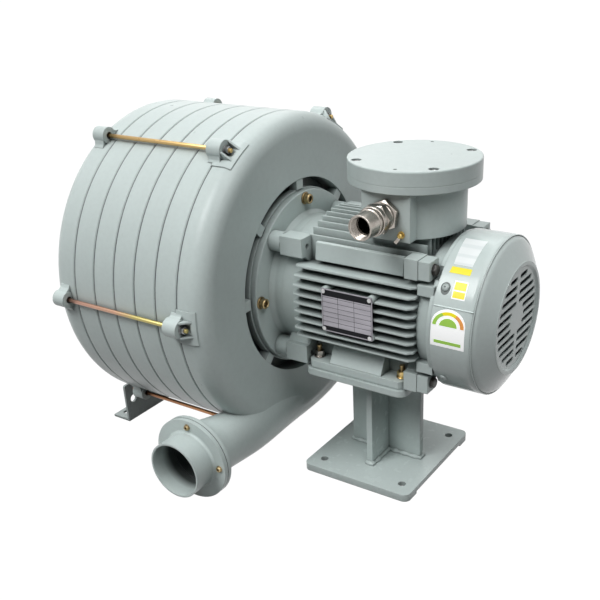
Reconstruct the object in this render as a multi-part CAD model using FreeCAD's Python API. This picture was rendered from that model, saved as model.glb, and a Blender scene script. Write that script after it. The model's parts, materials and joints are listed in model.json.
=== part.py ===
"""Multistage blower: six centrifugal stages on one overhung shaft, driven by a
foot-and-flange motor that stands on a welded pedestal.

Millimetres. +X runs along the shaft from the blower towards the motor's fan, -Y is the
way the discharge blows, and +Z is up. The origin is on the floor, in the middle of the
four holes of the pedestal's base plate. Angles about the shaft start at +Y and turn
towards +Z.
"""

import FreeCAD
import Part
import math
import os

Vector = FreeCAD.Vector
X_AXIS = Vector(1, 0, 0)
Y_AXIS = Vector(0, 1, 0)
Z_AXIS = Vector(0, 0, 1)

# Clearances that tie the fits together
SCREW_CLEARANCE = 0.5
SEAT_CLEARANCE = 0.1
RUNNING_CLEARANCE = 0.05
WHEEL_GAP = 1.0
EAR_GAP = 0.5

# Pedestal, from the floor up
BASE_LENGTH = 186.0
BASE_WIDTH = 212.0
BASE_THICKNESS = 8.0
BASE_CORNER = 11.0
BASE_HOLE_SPACING_X = 140.0
BASE_HOLE_SPACING_Y = 160.0
BASE_HOLE_RADIUS = 6.0
STRIP_WIDTH = 24.0
STRIP_THICKNESS = 4.0
COLUMN_HEIGHT = 161.0
COLUMN_PLATE = 10.0
COLUMN_LENGTH = 122.0
COLUMN_WIDTH = 114.0
TOP_PLATE_LENGTH = 168.0
TOP_PLATE_WIDTH = 206.0
TOP_PLATE_THICKNESS = 10.0
TOP_PLATE_CORNER = 14.0

# Motor frame
FRAME_FOOT_GAP = 8.0
FOOT_SPACING_X = 140.0
FOOT_SPACING_Y = 160.0
FOOT_BOLT_RADIUS = 5.0
FOOT_LENGTH = 160.0
FOOT_OVERHANG = 18.0
FOOT_THICKNESS = 12.0
FOOT_INNER_Y = 48.0
FOOT_CHAMFER = 7.0
FOOT_NUT_FLATS = 17.0
FOOT_NUT_HEIGHT = 8.0
FOOT_HEAD_HEIGHT = 6.5
FOOT_WASHER_RADIUS = 10.5
FOOT_WASHER_THICKNESS = 2.0
FOOT_THREAD_END = 11.0
RISER_Y = 60.0
RISER_THICKNESS = 9.0
GUSSET_EDGE = 3.0
GUSSET_LEDGE = 12.0
GUSSET_RISE = 27.0
GUSSET_CREST = 34.0
GUSSET_LENGTH = 86.0
FRAME_START_X = -120.0
FRAME_LENGTH = 221.0
FIN_START_X = -92.0
FRAME_BORE = 84.0
FRAME_RADIUS = 92.0
FIN_THICKNESS = 3.0
SIDE_FIN_PITCH = 13.0
SIDE_FIN_COUNT = 9
SIDE_FIN_LOWEST = -45.5
SIDE_FIN_REACH = 113.0
SIDE_FIN_TIP_RADIUS = 118.0
SIDE_FIN_CHAMFER = 7.0
TOP_FIN_PITCH = 11.7
TOP_FIN_COUNT = 13
TOP_FIN_TIP_RADIUS = 120.0
TOP_FIN_INSET = 6.0
BOTTOM_FIN_COUNT = 7
BOTTOM_FIN_DROP = 97.0
RAIL_SHEET = 5.0
RAIL_LEAN = 3.0
RAIL_LEDGE = 25.0
RAIL_DEPTH = 25.0
RAIL_SLOPE = 9.0
RAIL_START_X = -66.0
RAIL_LENGTH = 140.0
LUG_OFFSET = 83.0
LUG_SIZE = 28.0
LUG_LENGTH = 38.0
FAN_LUG_LENGTH = 20.0
SHIELD_SCREW_RADIUS = 4.0
SHIELD_SCREW_SEAT = 8.0
SCREW_FLATS = 13.0
SCREW_HEAD = 5.5
SCREW_WASHER_RADIUS = 8.0
SCREW_WASHER = 1.6

# End shields
SHIELD_DEPTH = 30.5
FLANGE_RADIUS = 134.5
FLANGE_THICKNESS = 10.0
FLANGE_BOLT_PCD = 248.0
FLANGE_WASHER_RADIUS = 10.0
FLANGE_WASHER = 2.0
FLANGE_HEAD_RADIUS = 8.0
FLANGE_HEAD = 9.0
FLANGE_BOLT_COUNT = 4
FLANGE_BOLT_RADIUS = 5.0
REGISTER_RADIUS = 90.0
REGISTER_DEPTH = 4.0
NECK_RADIUS = 99.0
NECK_FLARE = 104.0
NECK_WALL = 8.0
SHIELD_WEB = 8.0
BEARING_BOSS = 7.0
SHIELD_EAR_RADIUS = 15.0
FAN_SHIELD_DEPTH = 27.0
FAN_COLLAR_LENGTH = 9.0
FAN_RIM_LENGTH = 16.0
COVER_SEAM = 0.5
FAN_EAR_LENGTH = 17.0
FAN_SPOT_FACE = 13.0
SIDE_PAD_HEIGHT = 15.0

# Blower casing
SEAT_SETBACK = 3.5
DRUM_RADIUS = 246.0
CASING_WALL = 7.0
RING_COUNT = 5
STAGE_PITCH = 40.0
JOINT_CHAMFER = 2.2
FRONT_COVER_DEPTH = 45.0
FRONT_CORNER = 27.0
REAR_COVER_DEPTH = 53.0
REAR_CORNER = 30.0
WINDOW_COUNT = 8
WINDOW_OUTER_RADIUS = 152.0
SPOKE_WIDTH = 16.0
SPOKE_THICKNESS = 14.0
SPOKE_SETBACK = 1.5
MOTOR_RING_RADIUS = 137.0
MOTOR_RING_THICKNESS = 12.0
POCKET_DEPTH = 31.0
PRESSURE_WALL = 6.0
HUB_OUTER_RADIUS = 66.0
HUB_BORE = 58.0

# Stages
EYE_RADIUS = 54.0
WHEEL_RADIUS = 188.0
WHEEL_WIDTH = 16.0
WHEEL_DISC = 2.5
WHEEL_HUB_RADIUS = 30.0
WHEEL_HUB_LENGTH = 21.0
WHEEL_SETBACK = 3.0
BLADE_COUNT = 7
BLADE_THICKNESS = 2.5
BLADE_SWEEP = -48.0
EYE_COLLAR = 4.0
BAFFLE_RADIUS = 212.0
BAFFLE_THICKNESS = 3.0
BAFFLE_SETBACK = 2.0
VANE_COUNT = 7
VANE_HEIGHT = 9.0
VANE_SWEEP = 42.0
VANE_INNER_RADIUS = 70.0
VANE_OUTER_RADIUS = 208.0
DIAPHRAGM_THICKNESS = 4.0

# Tie rods and their ears
ROD_COUNT = 6
ROD_STANDOFF = 6.5
ROD_RADIUS = 3.2
ROD_HOLE_RADIUS = 5.0
EAR_RADIUS = 14.0
EAR_ROOT = 22.0
FRONT_EAR_OVERHANG = 11.0
FRONT_EAR_LAND = 13.0
PRONG_LENGTH = 16.0
PRONG_THICKNESS = 3.0
PRONG_SPREAD = 11.0
PAD_HEIGHT = 1.5
PAD_LENGTH = 32.0
PAD_WIDTH = 50.0
REAR_EAR_SETBACK = 10.0
REAR_EAR_LENGTH = 22.0
REAR_EAR_RADIUS = 12.5
ROD_NUT_FLATS = 10.0
ROD_NUT_HEIGHT = 5.2
ROD_WASHER_RADIUS = 6.8
ROD_WASHER_THICKNESS = 1.2
ROD_END = 4.0
ROD_THREAD_DEPTH = 19.0
SPOT_FACE_RADIUS = 8.0
SCROLL_ROD_ANGLES = (240, 300)

# Discharge
DISCHARGE_X = -188.0
DISCHARGE_DROP = 210.0
DISCHARGE_REACH = 10.5
DISCHARGE_FLANGE_RADIUS = 64.5
DISCHARGE_FLANGE_THICKNESS = 6.5
DISCHARGE_PCD = 108.0
DISCHARGE_BOLT_RADIUS = 3.0
DISCHARGE_BOLT_COUNT = 4
DISCHARGE_HEAD_RADIUS = 4.9
DISCHARGE_HEAD_HEIGHT = 4.0
DISCHARGE_NUT_FLATS = 10.0
DISCHARGE_NUT_HEIGHT = 5.0
GASKET_THICKNESS = 1.0
SPIGOT_LENGTH = 37.0
SPIGOT_RADIUS = 44.0
SPIGOT_WALL = 3.0
SPIGOT_FILLET = 4.0
PIPE_RADIUS = 46.0
PIPE_WALL = 6.0
SCROLL_HALF_WIDTH = 23.0

# Inlet on the hidden rear side
INLET_FLANGE_RADIUS = 88.0
INLET_FLANGE_THICKNESS = 8.0
INLET_SPIGOT_LENGTH = 38.0
INLET_SPIGOT_RADIUS = 57.0
INLET_SPIGOT_WALL = 3.0
INLET_BEVEL = 2.0
INLET_PCD = 146.0
INLET_BOLT_COUNT = 4
INLET_BOLT_RADIUS = 3.0
INLET_BOSS_RADIUS = 9.0
INLET_HEAD_FLATS = 10.0
INLET_HEAD = 4.0
BOSS_LENGTH = 18.0
GUARD_THICKNESS = 3.0
GUARD_RADIUS = 62.0
GUARD_BAR_COUNT = 5
GUARD_BAR = 3.0

# Rear bracket
BRACKET_HALF_WIDTH = 137.0
BRACKET_TAPER = 20.0
BRACKET_HEIGHT = 70.0
BRACKET_BOLT_MARGIN = 20.0
BRACKET_CREST_HALF_WIDTH = 62.0
BRACKET_SHEET = 4.0
BRACKET_FLANGE = 37.5
BRACKET_HOLE_Y = 120.0
BRACKET_HOLE_INSET = 25.0
BRACKET_HOLE_RADIUS = 5.0
BRACKET_SIDE_HOLE_Z = 39.0
BRACKET_SIDE_HOLE_RADIUS = 7.0
BRACKET_BOLT_Y = 42.0
BRACKET_BOLT_RISE = 65.0
BRACKET_BOLT_RADIUS = 4.0
BRACKET_BOSS_RADIUS = 11.0

# Rotor and bearings
SHAFT_WHEEL_RADIUS = 14.0
SHAFT_CORE_RADIUS = 19.0
SHAFT_SHOULDER_X = -170.0
SPACER_RADIUS = 24.0
DRIVE_BEARING = {"bore": 15.0, "outer": 36.0, "width": 19.0, "ball": 6.0}
FAN_BEARING = {"bore": 12.5, "outer": 31.0, "width": 17.0, "ball": 5.5}
BALL_COUNT = 8
BEARING_RACE = 5.5
FAN_SEAT_RADIUS = 11.0
SHAFT_NUT_LENGTH = 14.0
SHAFT_NUT_FLATS = 34.0
NUT_FLANGE_RADIUS = 20.0
NUT_FLANGE = 3.0
CORE_LENGTH = 112.0
ROTOR_RADIUS = 53.0
STATOR_BORE = 54.0
END_RING = 12.0
RING_BORE = 14.0
WINDING_LENGTH = 24.0
SEAL_RADIUS = 32.0
SEAL_LENGTH = 10.0

# Cooling fan and its cover
FAN_RADIUS = 94.0
FAN_BLADE_COUNT = 7
FAN_BLADE_LENGTH = 32.0
FAN_DISC_RADIUS = 72.0
FAN_SHEET = 3.0
FAN_TAPER = 30.0
FAN_HUB_RADIUS = 20.0
FAN_SETBACK = 17.0
COVER_RADIUS = 112.5
COVER_SHEET = 2.0
COVER_SHOULDER = 59.0
COVER_LENGTH = 79.0
COVER_FACE_RADIUS = 78.0
COVER_DISH = 3.0
SLOT_ROWS = 11
SLOT_PITCH = 11.8
SLOT_HEIGHT = 6.6
SLOT_CIRCLE = 66.0
SLOT_BAR = 8.0
SLOT_CENTRE_RADIUS = 21.0
COVER_SCREW_ANGLE = 35.5
COVER_SCREW_INSET = 11.5
COVER_SCREW_RADIUS = 2.5
COVER_SCREW_LENGTH = 6.0

# Terminal box
BOX_X = 44.5
NECK_SIZE = 88.0
BOX_BOTTOM = 112.0
PASSAGE_RADIUS = 24.0
BOX_FLOOR_HOLE = 20.0
BOX_HEIGHT = 65.0
BOX_RADIUS = 73.0
BOX_WALL = 6.0
BOX_RIM = 10.0
BOX_COVER_RADIUS = 92.3
BOX_COVER_THICKNESS = 20.5
BOX_SCREW_CIRCLE = 81.2
BLOCK_LENGTH = 68.0
BLOCK_WIDTH = 32.0
BLOCK_HEIGHT = 16.0
BLOCK_Y = 24.0
STUD_RADIUS = 2.5
STUD_LENGTH = 14.0
STUD_PITCH = 24.0
PIN_HOLE_ANGLES = (100, 280)
PIN_HOLE_RADIUS = 2.5
BOX_SCREW_RADIUS = 4.0
BOX_SCREW_HEAD = 6.5
BOX_SCREW_HEAD_HEIGHT = 8.0
BOX_SCREW_RECESS = 10.0
GLAND_PAD_WIDTH = 73.0
GLAND_PAD_Y = 81.0
GLAND_RISE = 34.5
GLAND_HOLE_RADIUS = 15.0
GLAND_LOCKNUT_FLATS = 46.0
GLAND_HEX_FLATS = 42.0
GLAND_MOUTH_RADIUS = 17.0
GLAND_BORE = 13.5
GLAND_LENGTH = 66.0
GLAND_INSIDE = 12.0
GLAND_COLLAR_START = 10.0
GLAND_COLLAR = 5.0
GLAND_HEX_LENGTH = 13.0
GLAND_THREAD_RADIUS = 15.5
GLAND_THREAD_LENGTH = 22.0
GLAND_CAP_RADIUS = 20.0
GLAND_CAP_NECK = 18.6
EARTH_WASHER_RADIUS = 6.5
EARTH_WASHER = 1.5
EARTH_FLATS = 8.0
EARTH_HEAD = 5.0

# Nameplate
PLATE_LENGTH = 82.0
PLATE_HEIGHT = 64.0
PLATE_THICKNESS = 1.0
PLATE_CENTRE_X = 2.0
PLATE_CENTRE_RISE = 8.0
POST_RADIUS = 5.5
POST_INSET = 4.0
PLATE_STANDOFF = 2.0
PLATE_SCREW_RADIUS = 3.0
PLATE_SCREW_HEAD = 1.5

# Heights, in the order that the pieces stand on each other
BASE_TOP = STRIP_THICKNESS + BASE_THICKNESS
COLUMN_TOP = BASE_TOP + COLUMN_HEIGHT
FOOT_BOTTOM = COLUMN_TOP + TOP_PLATE_THICKNESS
FOOT_TOP = FOOT_BOTTOM + FOOT_THICKNESS
FRAME_HEIGHT = FRAME_RADIUS + FRAME_FOOT_GAP
SHAFT_HEIGHT = FOOT_BOTTOM + FRAME_HEIGHT
DISCHARGE_Z = SHAFT_HEIGHT - DISCHARGE_DROP
DISCHARGE_FLANGE_Y = -(DRUM_RADIUS + DISCHARGE_REACH)

# Places along the shaft, in the order that the pieces bolt to each other
FRAME_END_X = FRAME_START_X + FRAME_LENGTH
MOTOR_SEAT_X = FRAME_START_X - SHIELD_DEPTH
FLANGE_FRONT_X = MOTOR_SEAT_X + FLANGE_THICKNESS
FRONT_FACE_X = MOTOR_SEAT_X + SEAT_SETBACK
FRONT_JOINT_X = FRONT_FACE_X - FRONT_COVER_DEPTH
REAR_JOINT_X = FRONT_JOINT_X - RING_COUNT * STAGE_PITCH
REAR_FACE_X = REAR_JOINT_X - REAR_COVER_DEPTH
PRESSURE_WALL_X = FRONT_FACE_X - POCKET_DEPTH - PRESSURE_WALL
PIPE_MOUTH_Y = DISCHARGE_FLANGE_Y + DISCHARGE_FLANGE_THICKNESS + GASKET_THICKNESS
FAN_SHIELD_END_X = FRAME_END_X + FAN_SHIELD_DEPTH
COVER_START_X = FAN_SHIELD_END_X - COVER_SEAM
COVER_END_X = COVER_START_X + COVER_LENGTH
CASING_BORE = DRUM_RADIUS - CASING_WALL
ROD_CIRCLE_RADIUS = DRUM_RADIUS + ROD_STANDOFF
FIRST_WHEEL_X = REAR_JOINT_X - WHEEL_SETBACK
DRIVE_BEARING_X = FLANGE_FRONT_X + SHIELD_WEB
FAN_BEARING_X = FRAME_END_X + 2.0
SIDE_PAD_INNER = FRAME_RADIUS - 22
SIDE_PAD_OUTER = FRAME_RADIUS + 5
BOX_BOTTOM_Z = SHAFT_HEIGHT + BOX_BOTTOM
BOX_TOP_Z = BOX_BOTTOM_Z + BOX_HEIGHT + BOX_RIM
BRACKET_BOLT_Z = SHAFT_HEIGHT - DRUM_RADIUS + BRACKET_BOLT_RISE
BRACKET_CREST = BRACKET_BOLT_Z + BRACKET_BOLT_MARGIN


def polar(x, radius, angle):
    """Point at a radius and an angle (degrees) about the shaft."""
    turn = math.radians(angle)
    return Vector(x, radius * math.cos(turn), SHAFT_HEIGHT + radius * math.sin(turn))


def outline(points, place):
    """Closed face through (u, v) points; a third number rounds that corner."""
    count = len(points)
    corners = [Vector(p[0], p[1], 0) for p in points]
    entries = []
    for i, point in enumerate(points):
        here = corners[i]
        radius = point[2] if len(point) > 2 else 0.0
        if radius <= 0:
            entries.append((here, None, here))
            continue
        to_last = (corners[i - 1] - here).normalize()
        to_next = (corners[(i + 1) % count] - here).normalize()
        half = to_last.getAngle(to_next) / 2
        reach = radius / math.tan(half)
        middle = (to_last + to_next).normalize() * (radius / math.sin(half) - radius)
        entries.append((here + to_last * reach, here + middle, here + to_next * reach))
    edges = []
    for i, (start, middle, end) in enumerate(entries):
        if middle is not None:
            edges.append(Part.Arc(place(start), place(middle), place(end)).toShape())
        following = entries[(i + 1) % count][0]
        if end.distanceToPoint(following) > 1e-6:
            edges.append(Part.LineSegment(place(end), place(following)).toShape())
    return Part.Face(Part.Wire(edges))


def turned_about_shaft(points):
    """Solid of revolution about the shaft from a half section of (x, radius) points."""
    face = outline(points, lambda p: Vector(p.x, 0, SHAFT_HEIGHT + p.y))
    return face.revolve(Vector(0, 0, SHAFT_HEIGHT), X_AXIS, 360)


def flat_plate(points, bottom, height):
    """Plate from an outline of (x, y) points, standing from bottom upwards."""
    return outline(points, lambda p: Vector(p.x, p.y, bottom)).extrude(Z_AXIS * height)


def cross_plate(points, start_x, length):
    """Prism along X from an outline of (y, z) points."""
    return outline(points, lambda p: Vector(start_x, p.x, p.y)).extrude(X_AXIS * length)


def rounded_rectangle(length, width, corner):
    """Outline points of a rectangle about the origin with rounded corners."""
    half_x = length / 2
    half_y = width / 2
    signs = ((-1, -1), (1, -1), (1, 1), (-1, 1))
    return [(half_x * sx, half_y * sy, corner) for sx, sy in signs]


def block(low, high):
    """Box between two opposite corners."""
    size = Vector(*high) - Vector(*low)
    return Part.makeBox(size.x, size.y, size.z, Vector(*low))


def rod(radius, length, start, axis=X_AXIS):
    """Cylinder from a start point along an axis."""
    return Part.makeCylinder(radius, length, start, axis)


def tube(outer, inner, length, start, axis=X_AXIS):
    """Hollow cylinder from a start point along an axis."""
    return rod(outer, length, start, axis).cut(rod(inner, length, start, axis))


def hexagon(flats, length, start, axis=X_AXIS):
    """Hexagonal prism from a start point along an axis."""
    radius = flats / math.sqrt(3)
    side = Z_AXIS if abs(axis.z) < 0.5 else X_AXIS
    other = axis.cross(side)
    corners = []
    for i in range(7):
        turn = math.radians(60 * i)
        corners.append(start + side * (radius * math.cos(turn)) + other * (radius * math.sin(turn)))
    return Part.Face(Part.makePolygon(corners)).extrude(axis * length)


def about_shaft(shape, angle):
    """Copy of a shape turned about the shaft."""
    copy = shape.copy()
    copy.rotate(Vector(0, 0, SHAFT_HEIGHT), X_AXIS, angle)
    return copy


def joined(shapes):
    """One solid from overlapping shapes."""
    first = shapes[0]
    if len(shapes) > 1:
        first = first.multiFuse(shapes[1:])
    return first.removeSplitter()


def grid(spacing_x, spacing_y):
    """The four corners of a rectangular hole pattern."""
    return [(sx * spacing_x / 2, sy * spacing_y / 2) for sx in (-1, 1) for sy in (-1, 1)]


def circle_angles(count, first=0.0):
    """Evenly spaced angles round a circle."""
    return [first + 360.0 * i / count for i in range(count)]


def pedestal_base_plate():
    """Rounded base plate with the four anchor holes."""
    points = rounded_rectangle(BASE_LENGTH, BASE_WIDTH, BASE_CORNER)
    plate = flat_plate(points, STRIP_THICKNESS, BASE_THICKNESS)
    return plate.cut(anchor_holes())


def anchor_holes():
    """Cutters for the anchor holes through plate and strips."""
    holes = [rod(BASE_HOLE_RADIUS, BASE_TOP, Vector(x, y, 0), Z_AXIS)
             for x, y in grid(BASE_HOLE_SPACING_X, BASE_HOLE_SPACING_Y)]
    return Part.makeCompound(holes)


def pedestal_base_strips():
    """Packing strips under the front and rear edges of the base plate."""
    outer = flat_plate(rounded_rectangle(BASE_LENGTH, BASE_WIDTH, BASE_CORNER), 0, STRIP_THICKNESS)
    relief = BASE_WIDTH / 2 - STRIP_WIDTH - BASE_HOLE_RADIUS
    middle = block((-BASE_LENGTH, -relief, -1), (BASE_LENGTH, relief, STRIP_THICKNESS + 1))
    return outer.cut(middle).cut(anchor_holes())


def pedestal_column():
    """Cross-shaped column of two plates, welded between base and top plate."""
    half = COLUMN_PLATE / 2
    across = block((-half, -COLUMN_WIDTH / 2, BASE_TOP), (half, COLUMN_WIDTH / 2, COLUMN_TOP))
    along = block((-COLUMN_LENGTH / 2, -half, BASE_TOP), (COLUMN_LENGTH / 2, half, COLUMN_TOP))
    return joined([across, along])


def pedestal_top_plate():
    """Plate that the motor's feet bolt to."""
    points = rounded_rectangle(TOP_PLATE_LENGTH, TOP_PLATE_WIDTH, TOP_PLATE_CORNER)
    plate = flat_plate(points, COLUMN_TOP, TOP_PLATE_THICKNESS)
    radius = FOOT_BOLT_RADIUS + SCREW_CLEARANCE
    for x, y in grid(FOOT_SPACING_X, FOOT_SPACING_Y):
        plate = plate.cut(rod(radius, TOP_PLATE_THICKNESS, Vector(x, y, COLUMN_TOP), Z_AXIS))
    return plate


def foot_bolts():
    """Hex bolts from below through top plate and feet."""
    length = FOOT_TOP + FOOT_WASHER_THICKNESS + FOOT_NUT_HEIGHT + FOOT_THREAD_END - COLUMN_TOP
    bolts = []
    for x, y in grid(FOOT_SPACING_X, FOOT_SPACING_Y):
        head = hexagon(FOOT_NUT_FLATS, FOOT_HEAD_HEIGHT, Vector(x, y, COLUMN_TOP - FOOT_HEAD_HEIGHT), Z_AXIS)
        bolts.append(joined([head, rod(FOOT_BOLT_RADIUS, length, Vector(x, y, COLUMN_TOP), Z_AXIS)]))
    return Part.makeCompound(bolts)


def foot_washers():
    """Washers on the motor's feet."""
    inner = FOOT_BOLT_RADIUS + SEAT_CLEARANCE
    return Part.makeCompound([
        tube(FOOT_WASHER_RADIUS, inner, FOOT_WASHER_THICKNESS, Vector(x, y, FOOT_TOP), Z_AXIS)
        for x, y in grid(FOOT_SPACING_X, FOOT_SPACING_Y)])


def foot_nuts():
    """Nuts on the washers."""
    nuts = []
    bottom = FOOT_TOP + FOOT_WASHER_THICKNESS
    for x, y in grid(FOOT_SPACING_X, FOOT_SPACING_Y):
        start = Vector(x, y, bottom)
        nut = hexagon(FOOT_NUT_FLATS, FOOT_NUT_HEIGHT, start, Z_AXIS)
        nuts.append(nut.cut(rod(FOOT_BOLT_RADIUS + SEAT_CLEARANCE, FOOT_NUT_HEIGHT, start, Z_AXIS)))
    return Part.makeCompound(nuts)


def side_fins():
    """Horizontal fins on both sides, their free ends chamfered."""
    root = FRAME_BORE + 2
    fins = []
    for i in range(SIDE_FIN_COUNT):
        rise = SIDE_FIN_LOWEST + SIDE_FIN_PITCH * i
        tip = min(SIDE_FIN_REACH, math.sqrt(SIDE_FIN_TIP_RADIUS ** 2 - rise ** 2))
        inner = math.sqrt(max(root ** 2 - rise ** 2, 0))
        bottom = SHAFT_HEIGHT + rise - FIN_THICKNESS / 2
        for side in (-1, 1):
            points = [(FIN_START_X, side * inner),
                      (FIN_START_X, side * (tip - SIDE_FIN_CHAMFER / 2)),
                      (FIN_START_X + SIDE_FIN_CHAMFER / 2, side * tip),
                      (FRAME_END_X - SIDE_FIN_CHAMFER, side * tip),
                      (FRAME_END_X, side * (tip - SIDE_FIN_CHAMFER)),
                      (FRAME_END_X, side * inner)]
            fins.append(flat_plate(points, bottom, FIN_THICKNESS))
    return fins


def top_fins():
    """Vertical fins on top, stepping down with the round of the frame."""
    fins = []
    start = FIN_START_X + TOP_FIN_INSET
    end = FRAME_END_X - TOP_FIN_INSET
    for i in range(TOP_FIN_COUNT):
        y = TOP_FIN_PITCH * (i - (TOP_FIN_COUNT - 1) / 2)
        root = math.sqrt((FRAME_BORE + 2) ** 2 - y ** 2)
        tip = math.sqrt(TOP_FIN_TIP_RADIUS ** 2 - y ** 2)
        fins.append(block((start, y - FIN_THICKNESS / 2, SHAFT_HEIGHT + root),
                          (end, y + FIN_THICKNESS / 2, SHAFT_HEIGHT + tip)))
    return fins


def bottom_fins():
    """Short vertical fins between the feet."""
    fins = []
    for i in range(BOTTOM_FIN_COUNT):
        y = TOP_FIN_PITCH * (i - (BOTTOM_FIN_COUNT - 1) / 2)
        root = math.sqrt((FRAME_BORE + 2) ** 2 - y ** 2)
        low = (FIN_START_X + TOP_FIN_INSET, y - FIN_THICKNESS / 2, SHAFT_HEIGHT - BOTTOM_FIN_DROP)
        fins.append(block(low, (FRAME_END_X - TOP_FIN_INSET, y + FIN_THICKNESS / 2, SHAFT_HEIGHT - root)))
    return fins


def corner_rails():
    """Deep rails at the two upper corners, between the lugs of the end shields."""
    ledge_y = FRAME_RADIUS - RAIL_SHEET
    lip_y = ledge_y - RAIL_LEAN
    root_y = ledge_y - RAIL_LEDGE
    lip_z = SHAFT_HEIGHT + FRAME_RADIUS
    ledge_z = lip_z - RAIL_DEPTH
    root_z = ledge_z - RAIL_SLOPE
    rails = []
    for side in (-1, 1):
        points = [(side * root_y, root_z),
                  (side * ledge_y, ledge_z),
                  (side * lip_y, lip_z),
                  (side * (lip_y - RAIL_SHEET), lip_z + 1),
                  (side * (ledge_y - RAIL_SLOPE), ledge_z + RAIL_SHEET + 2),
                  (side * (root_y - RAIL_SHEET - 1), root_z + RAIL_SHEET + 3)]
        rails.append(cross_plate(points, RAIL_START_X, RAIL_LENGTH))
    return rails


def lug_centres():
    """The four (y, z) centres of the screws that hold the end shields."""
    return [(sy * LUG_OFFSET, SHAFT_HEIGHT + sz * LUG_OFFSET) for sy in (-1, 1) for sz in (-1, 1)]


def lug_block(y, z, start_x, length):
    """Square lug round a screw, tied to the barrel by a radial web."""
    half = LUG_SIZE / 2
    body = block((start_x, y - half, z - half), (start_x + length, y + half, z + half))
    angle = math.degrees(math.atan2(z - SHAFT_HEIGHT, y))
    web = block((start_x, FRAME_BORE + 2, SHAFT_HEIGHT - half),
                (start_x + length, LUG_OFFSET * math.sqrt(2), SHAFT_HEIGHT + half))
    return joined([body, about_shaft(web, angle)])


def feet():
    """Foot rails with risers and the sloped gusset between the bolts."""
    outer = FOOT_SPACING_Y / 2 + FOOT_OVERHANG
    half = FOOT_LENGTH / 2
    pieces = []
    for side in (-1, 1):
        slab = [(-half, side * FOOT_INNER_Y),
                (half, side * FOOT_INNER_Y),
                (half, side * (outer - FOOT_CHAMFER)),
                (half - FOOT_CHAMFER, side * outer),
                (-half + FOOT_CHAMFER, side * outer),
                (-half, side * (outer - FOOT_CHAMFER))]
        pieces.append(flat_plate(slab, FOOT_BOTTOM, FOOT_THICKNESS))
        riser = RISER_Y + RISER_THICKNESS
        pieces.append(block((-half, min(side * RISER_Y, side * riser), FOOT_BOTTOM),
                            (half, max(side * RISER_Y, side * riser), SHAFT_HEIGHT - 50)))
        slope = [(side * (outer - GUSSET_EDGE), FOOT_TOP - 1),
                 (side * (outer - GUSSET_EDGE), FOOT_TOP + 1),
                 (side * (riser + GUSSET_LEDGE), FOOT_TOP + GUSSET_RISE),
                 (side * (riser - 2), FOOT_TOP + GUSSET_CREST),
                 (side * (riser - 2), FOOT_TOP - 1)]
        pieces.append(cross_plate(slope, -GUSSET_LENGTH / 2, GUSSET_LENGTH))
    return pieces


def nameplate_posts():
    """Four round posts that carry the nameplate proud of the fins."""
    length = SIDE_FIN_REACH + PLATE_STANDOFF - FRAME_BORE
    return [rod(POST_RADIUS, length, Vector(x, -FRAME_BORE, z), -Y_AXIS) for x, z in nameplate_corners()]


def nameplate_corners():
    """The (x, z) places of the nameplate's screws."""
    half_x = PLATE_LENGTH / 2 - POST_INSET
    half_z = PLATE_HEIGHT / 2 - POST_INSET
    centre_z = SHAFT_HEIGHT + PLATE_CENTRE_RISE
    return [(PLATE_CENTRE_X + sx * half_x, centre_z + sz * half_z) for sx in (-1, 1) for sz in (-1, 1)]


def terminal_neck():
    """Square neck on the frame that the terminal box stands on."""
    corner = 8.0
    points = [(BOX_X + x, y, corner) for x, y, _ in rounded_rectangle(NECK_SIZE, NECK_SIZE, corner)]
    bottom = SHAFT_HEIGHT + 60
    return flat_plate(points, bottom, BOX_BOTTOM_Z - bottom)


def motor_frame():
    """Cast frame: finned tube, feet, lugs, rails and the neck of the terminal box."""
    barrel = turned_about_shaft([(FRAME_START_X, 0), (FRAME_START_X, NECK_RADIUS),
                                 (FIN_START_X + 2, NECK_RADIUS), (FIN_START_X + 2, FRAME_RADIUS),
                                 (FRAME_END_X, FRAME_RADIUS), (FRAME_END_X, 0)])
    lugs = []
    for y, z in lug_centres():
        lugs.append(lug_block(y, z, FRAME_START_X, LUG_LENGTH))
        lugs.append(lug_block(y, z, FRAME_END_X - FAN_LUG_LENGTH, FAN_LUG_LENGTH))
    casting = joined([barrel] + side_fins() + top_fins() + bottom_fins() + corner_rails()
                     + lugs + feet() + nameplate_posts() + [terminal_neck()])
    bore = turned_about_shaft([(FRAME_START_X - 40, 0), (FRAME_START_X - 40, FRAME_BORE),
                               (FRAME_END_X + 1, FRAME_BORE), (FRAME_END_X + 1, 0)])
    casting = casting.cut(bore)
    passage = rod(PASSAGE_RADIUS, BOX_BOTTOM, Vector(BOX_X, 0, SHAFT_HEIGHT + 40), Z_AXIS)
    box_room = rod(BOX_RADIUS + 2, TOP_FIN_TIP_RADIUS, Vector(BOX_X, 0, BOX_BOTTOM_Z), Z_AXIS)
    casting = casting.cut(passage).cut(box_room)
    holes = []
    for y, z in lug_centres():
        radius = SHIELD_SCREW_RADIUS + SEAT_CLEARANCE
        holes.append(rod(radius, LUG_LENGTH + 2, Vector(FRAME_START_X - 1, y, z)))
        holes.append(rod(radius, FAN_LUG_LENGTH + 2, Vector(FRAME_END_X - FAN_LUG_LENGTH - 1, y, z)))
    for x, y in grid(FOOT_SPACING_X, FOOT_SPACING_Y):
        radius = FOOT_BOLT_RADIUS + SCREW_CLEARANCE
        holes.append(rod(radius, 30, Vector(x, y, FOOT_BOTTOM - 1), Z_AXIS))
    return casting.cut(Part.makeCompound(holes))


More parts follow.
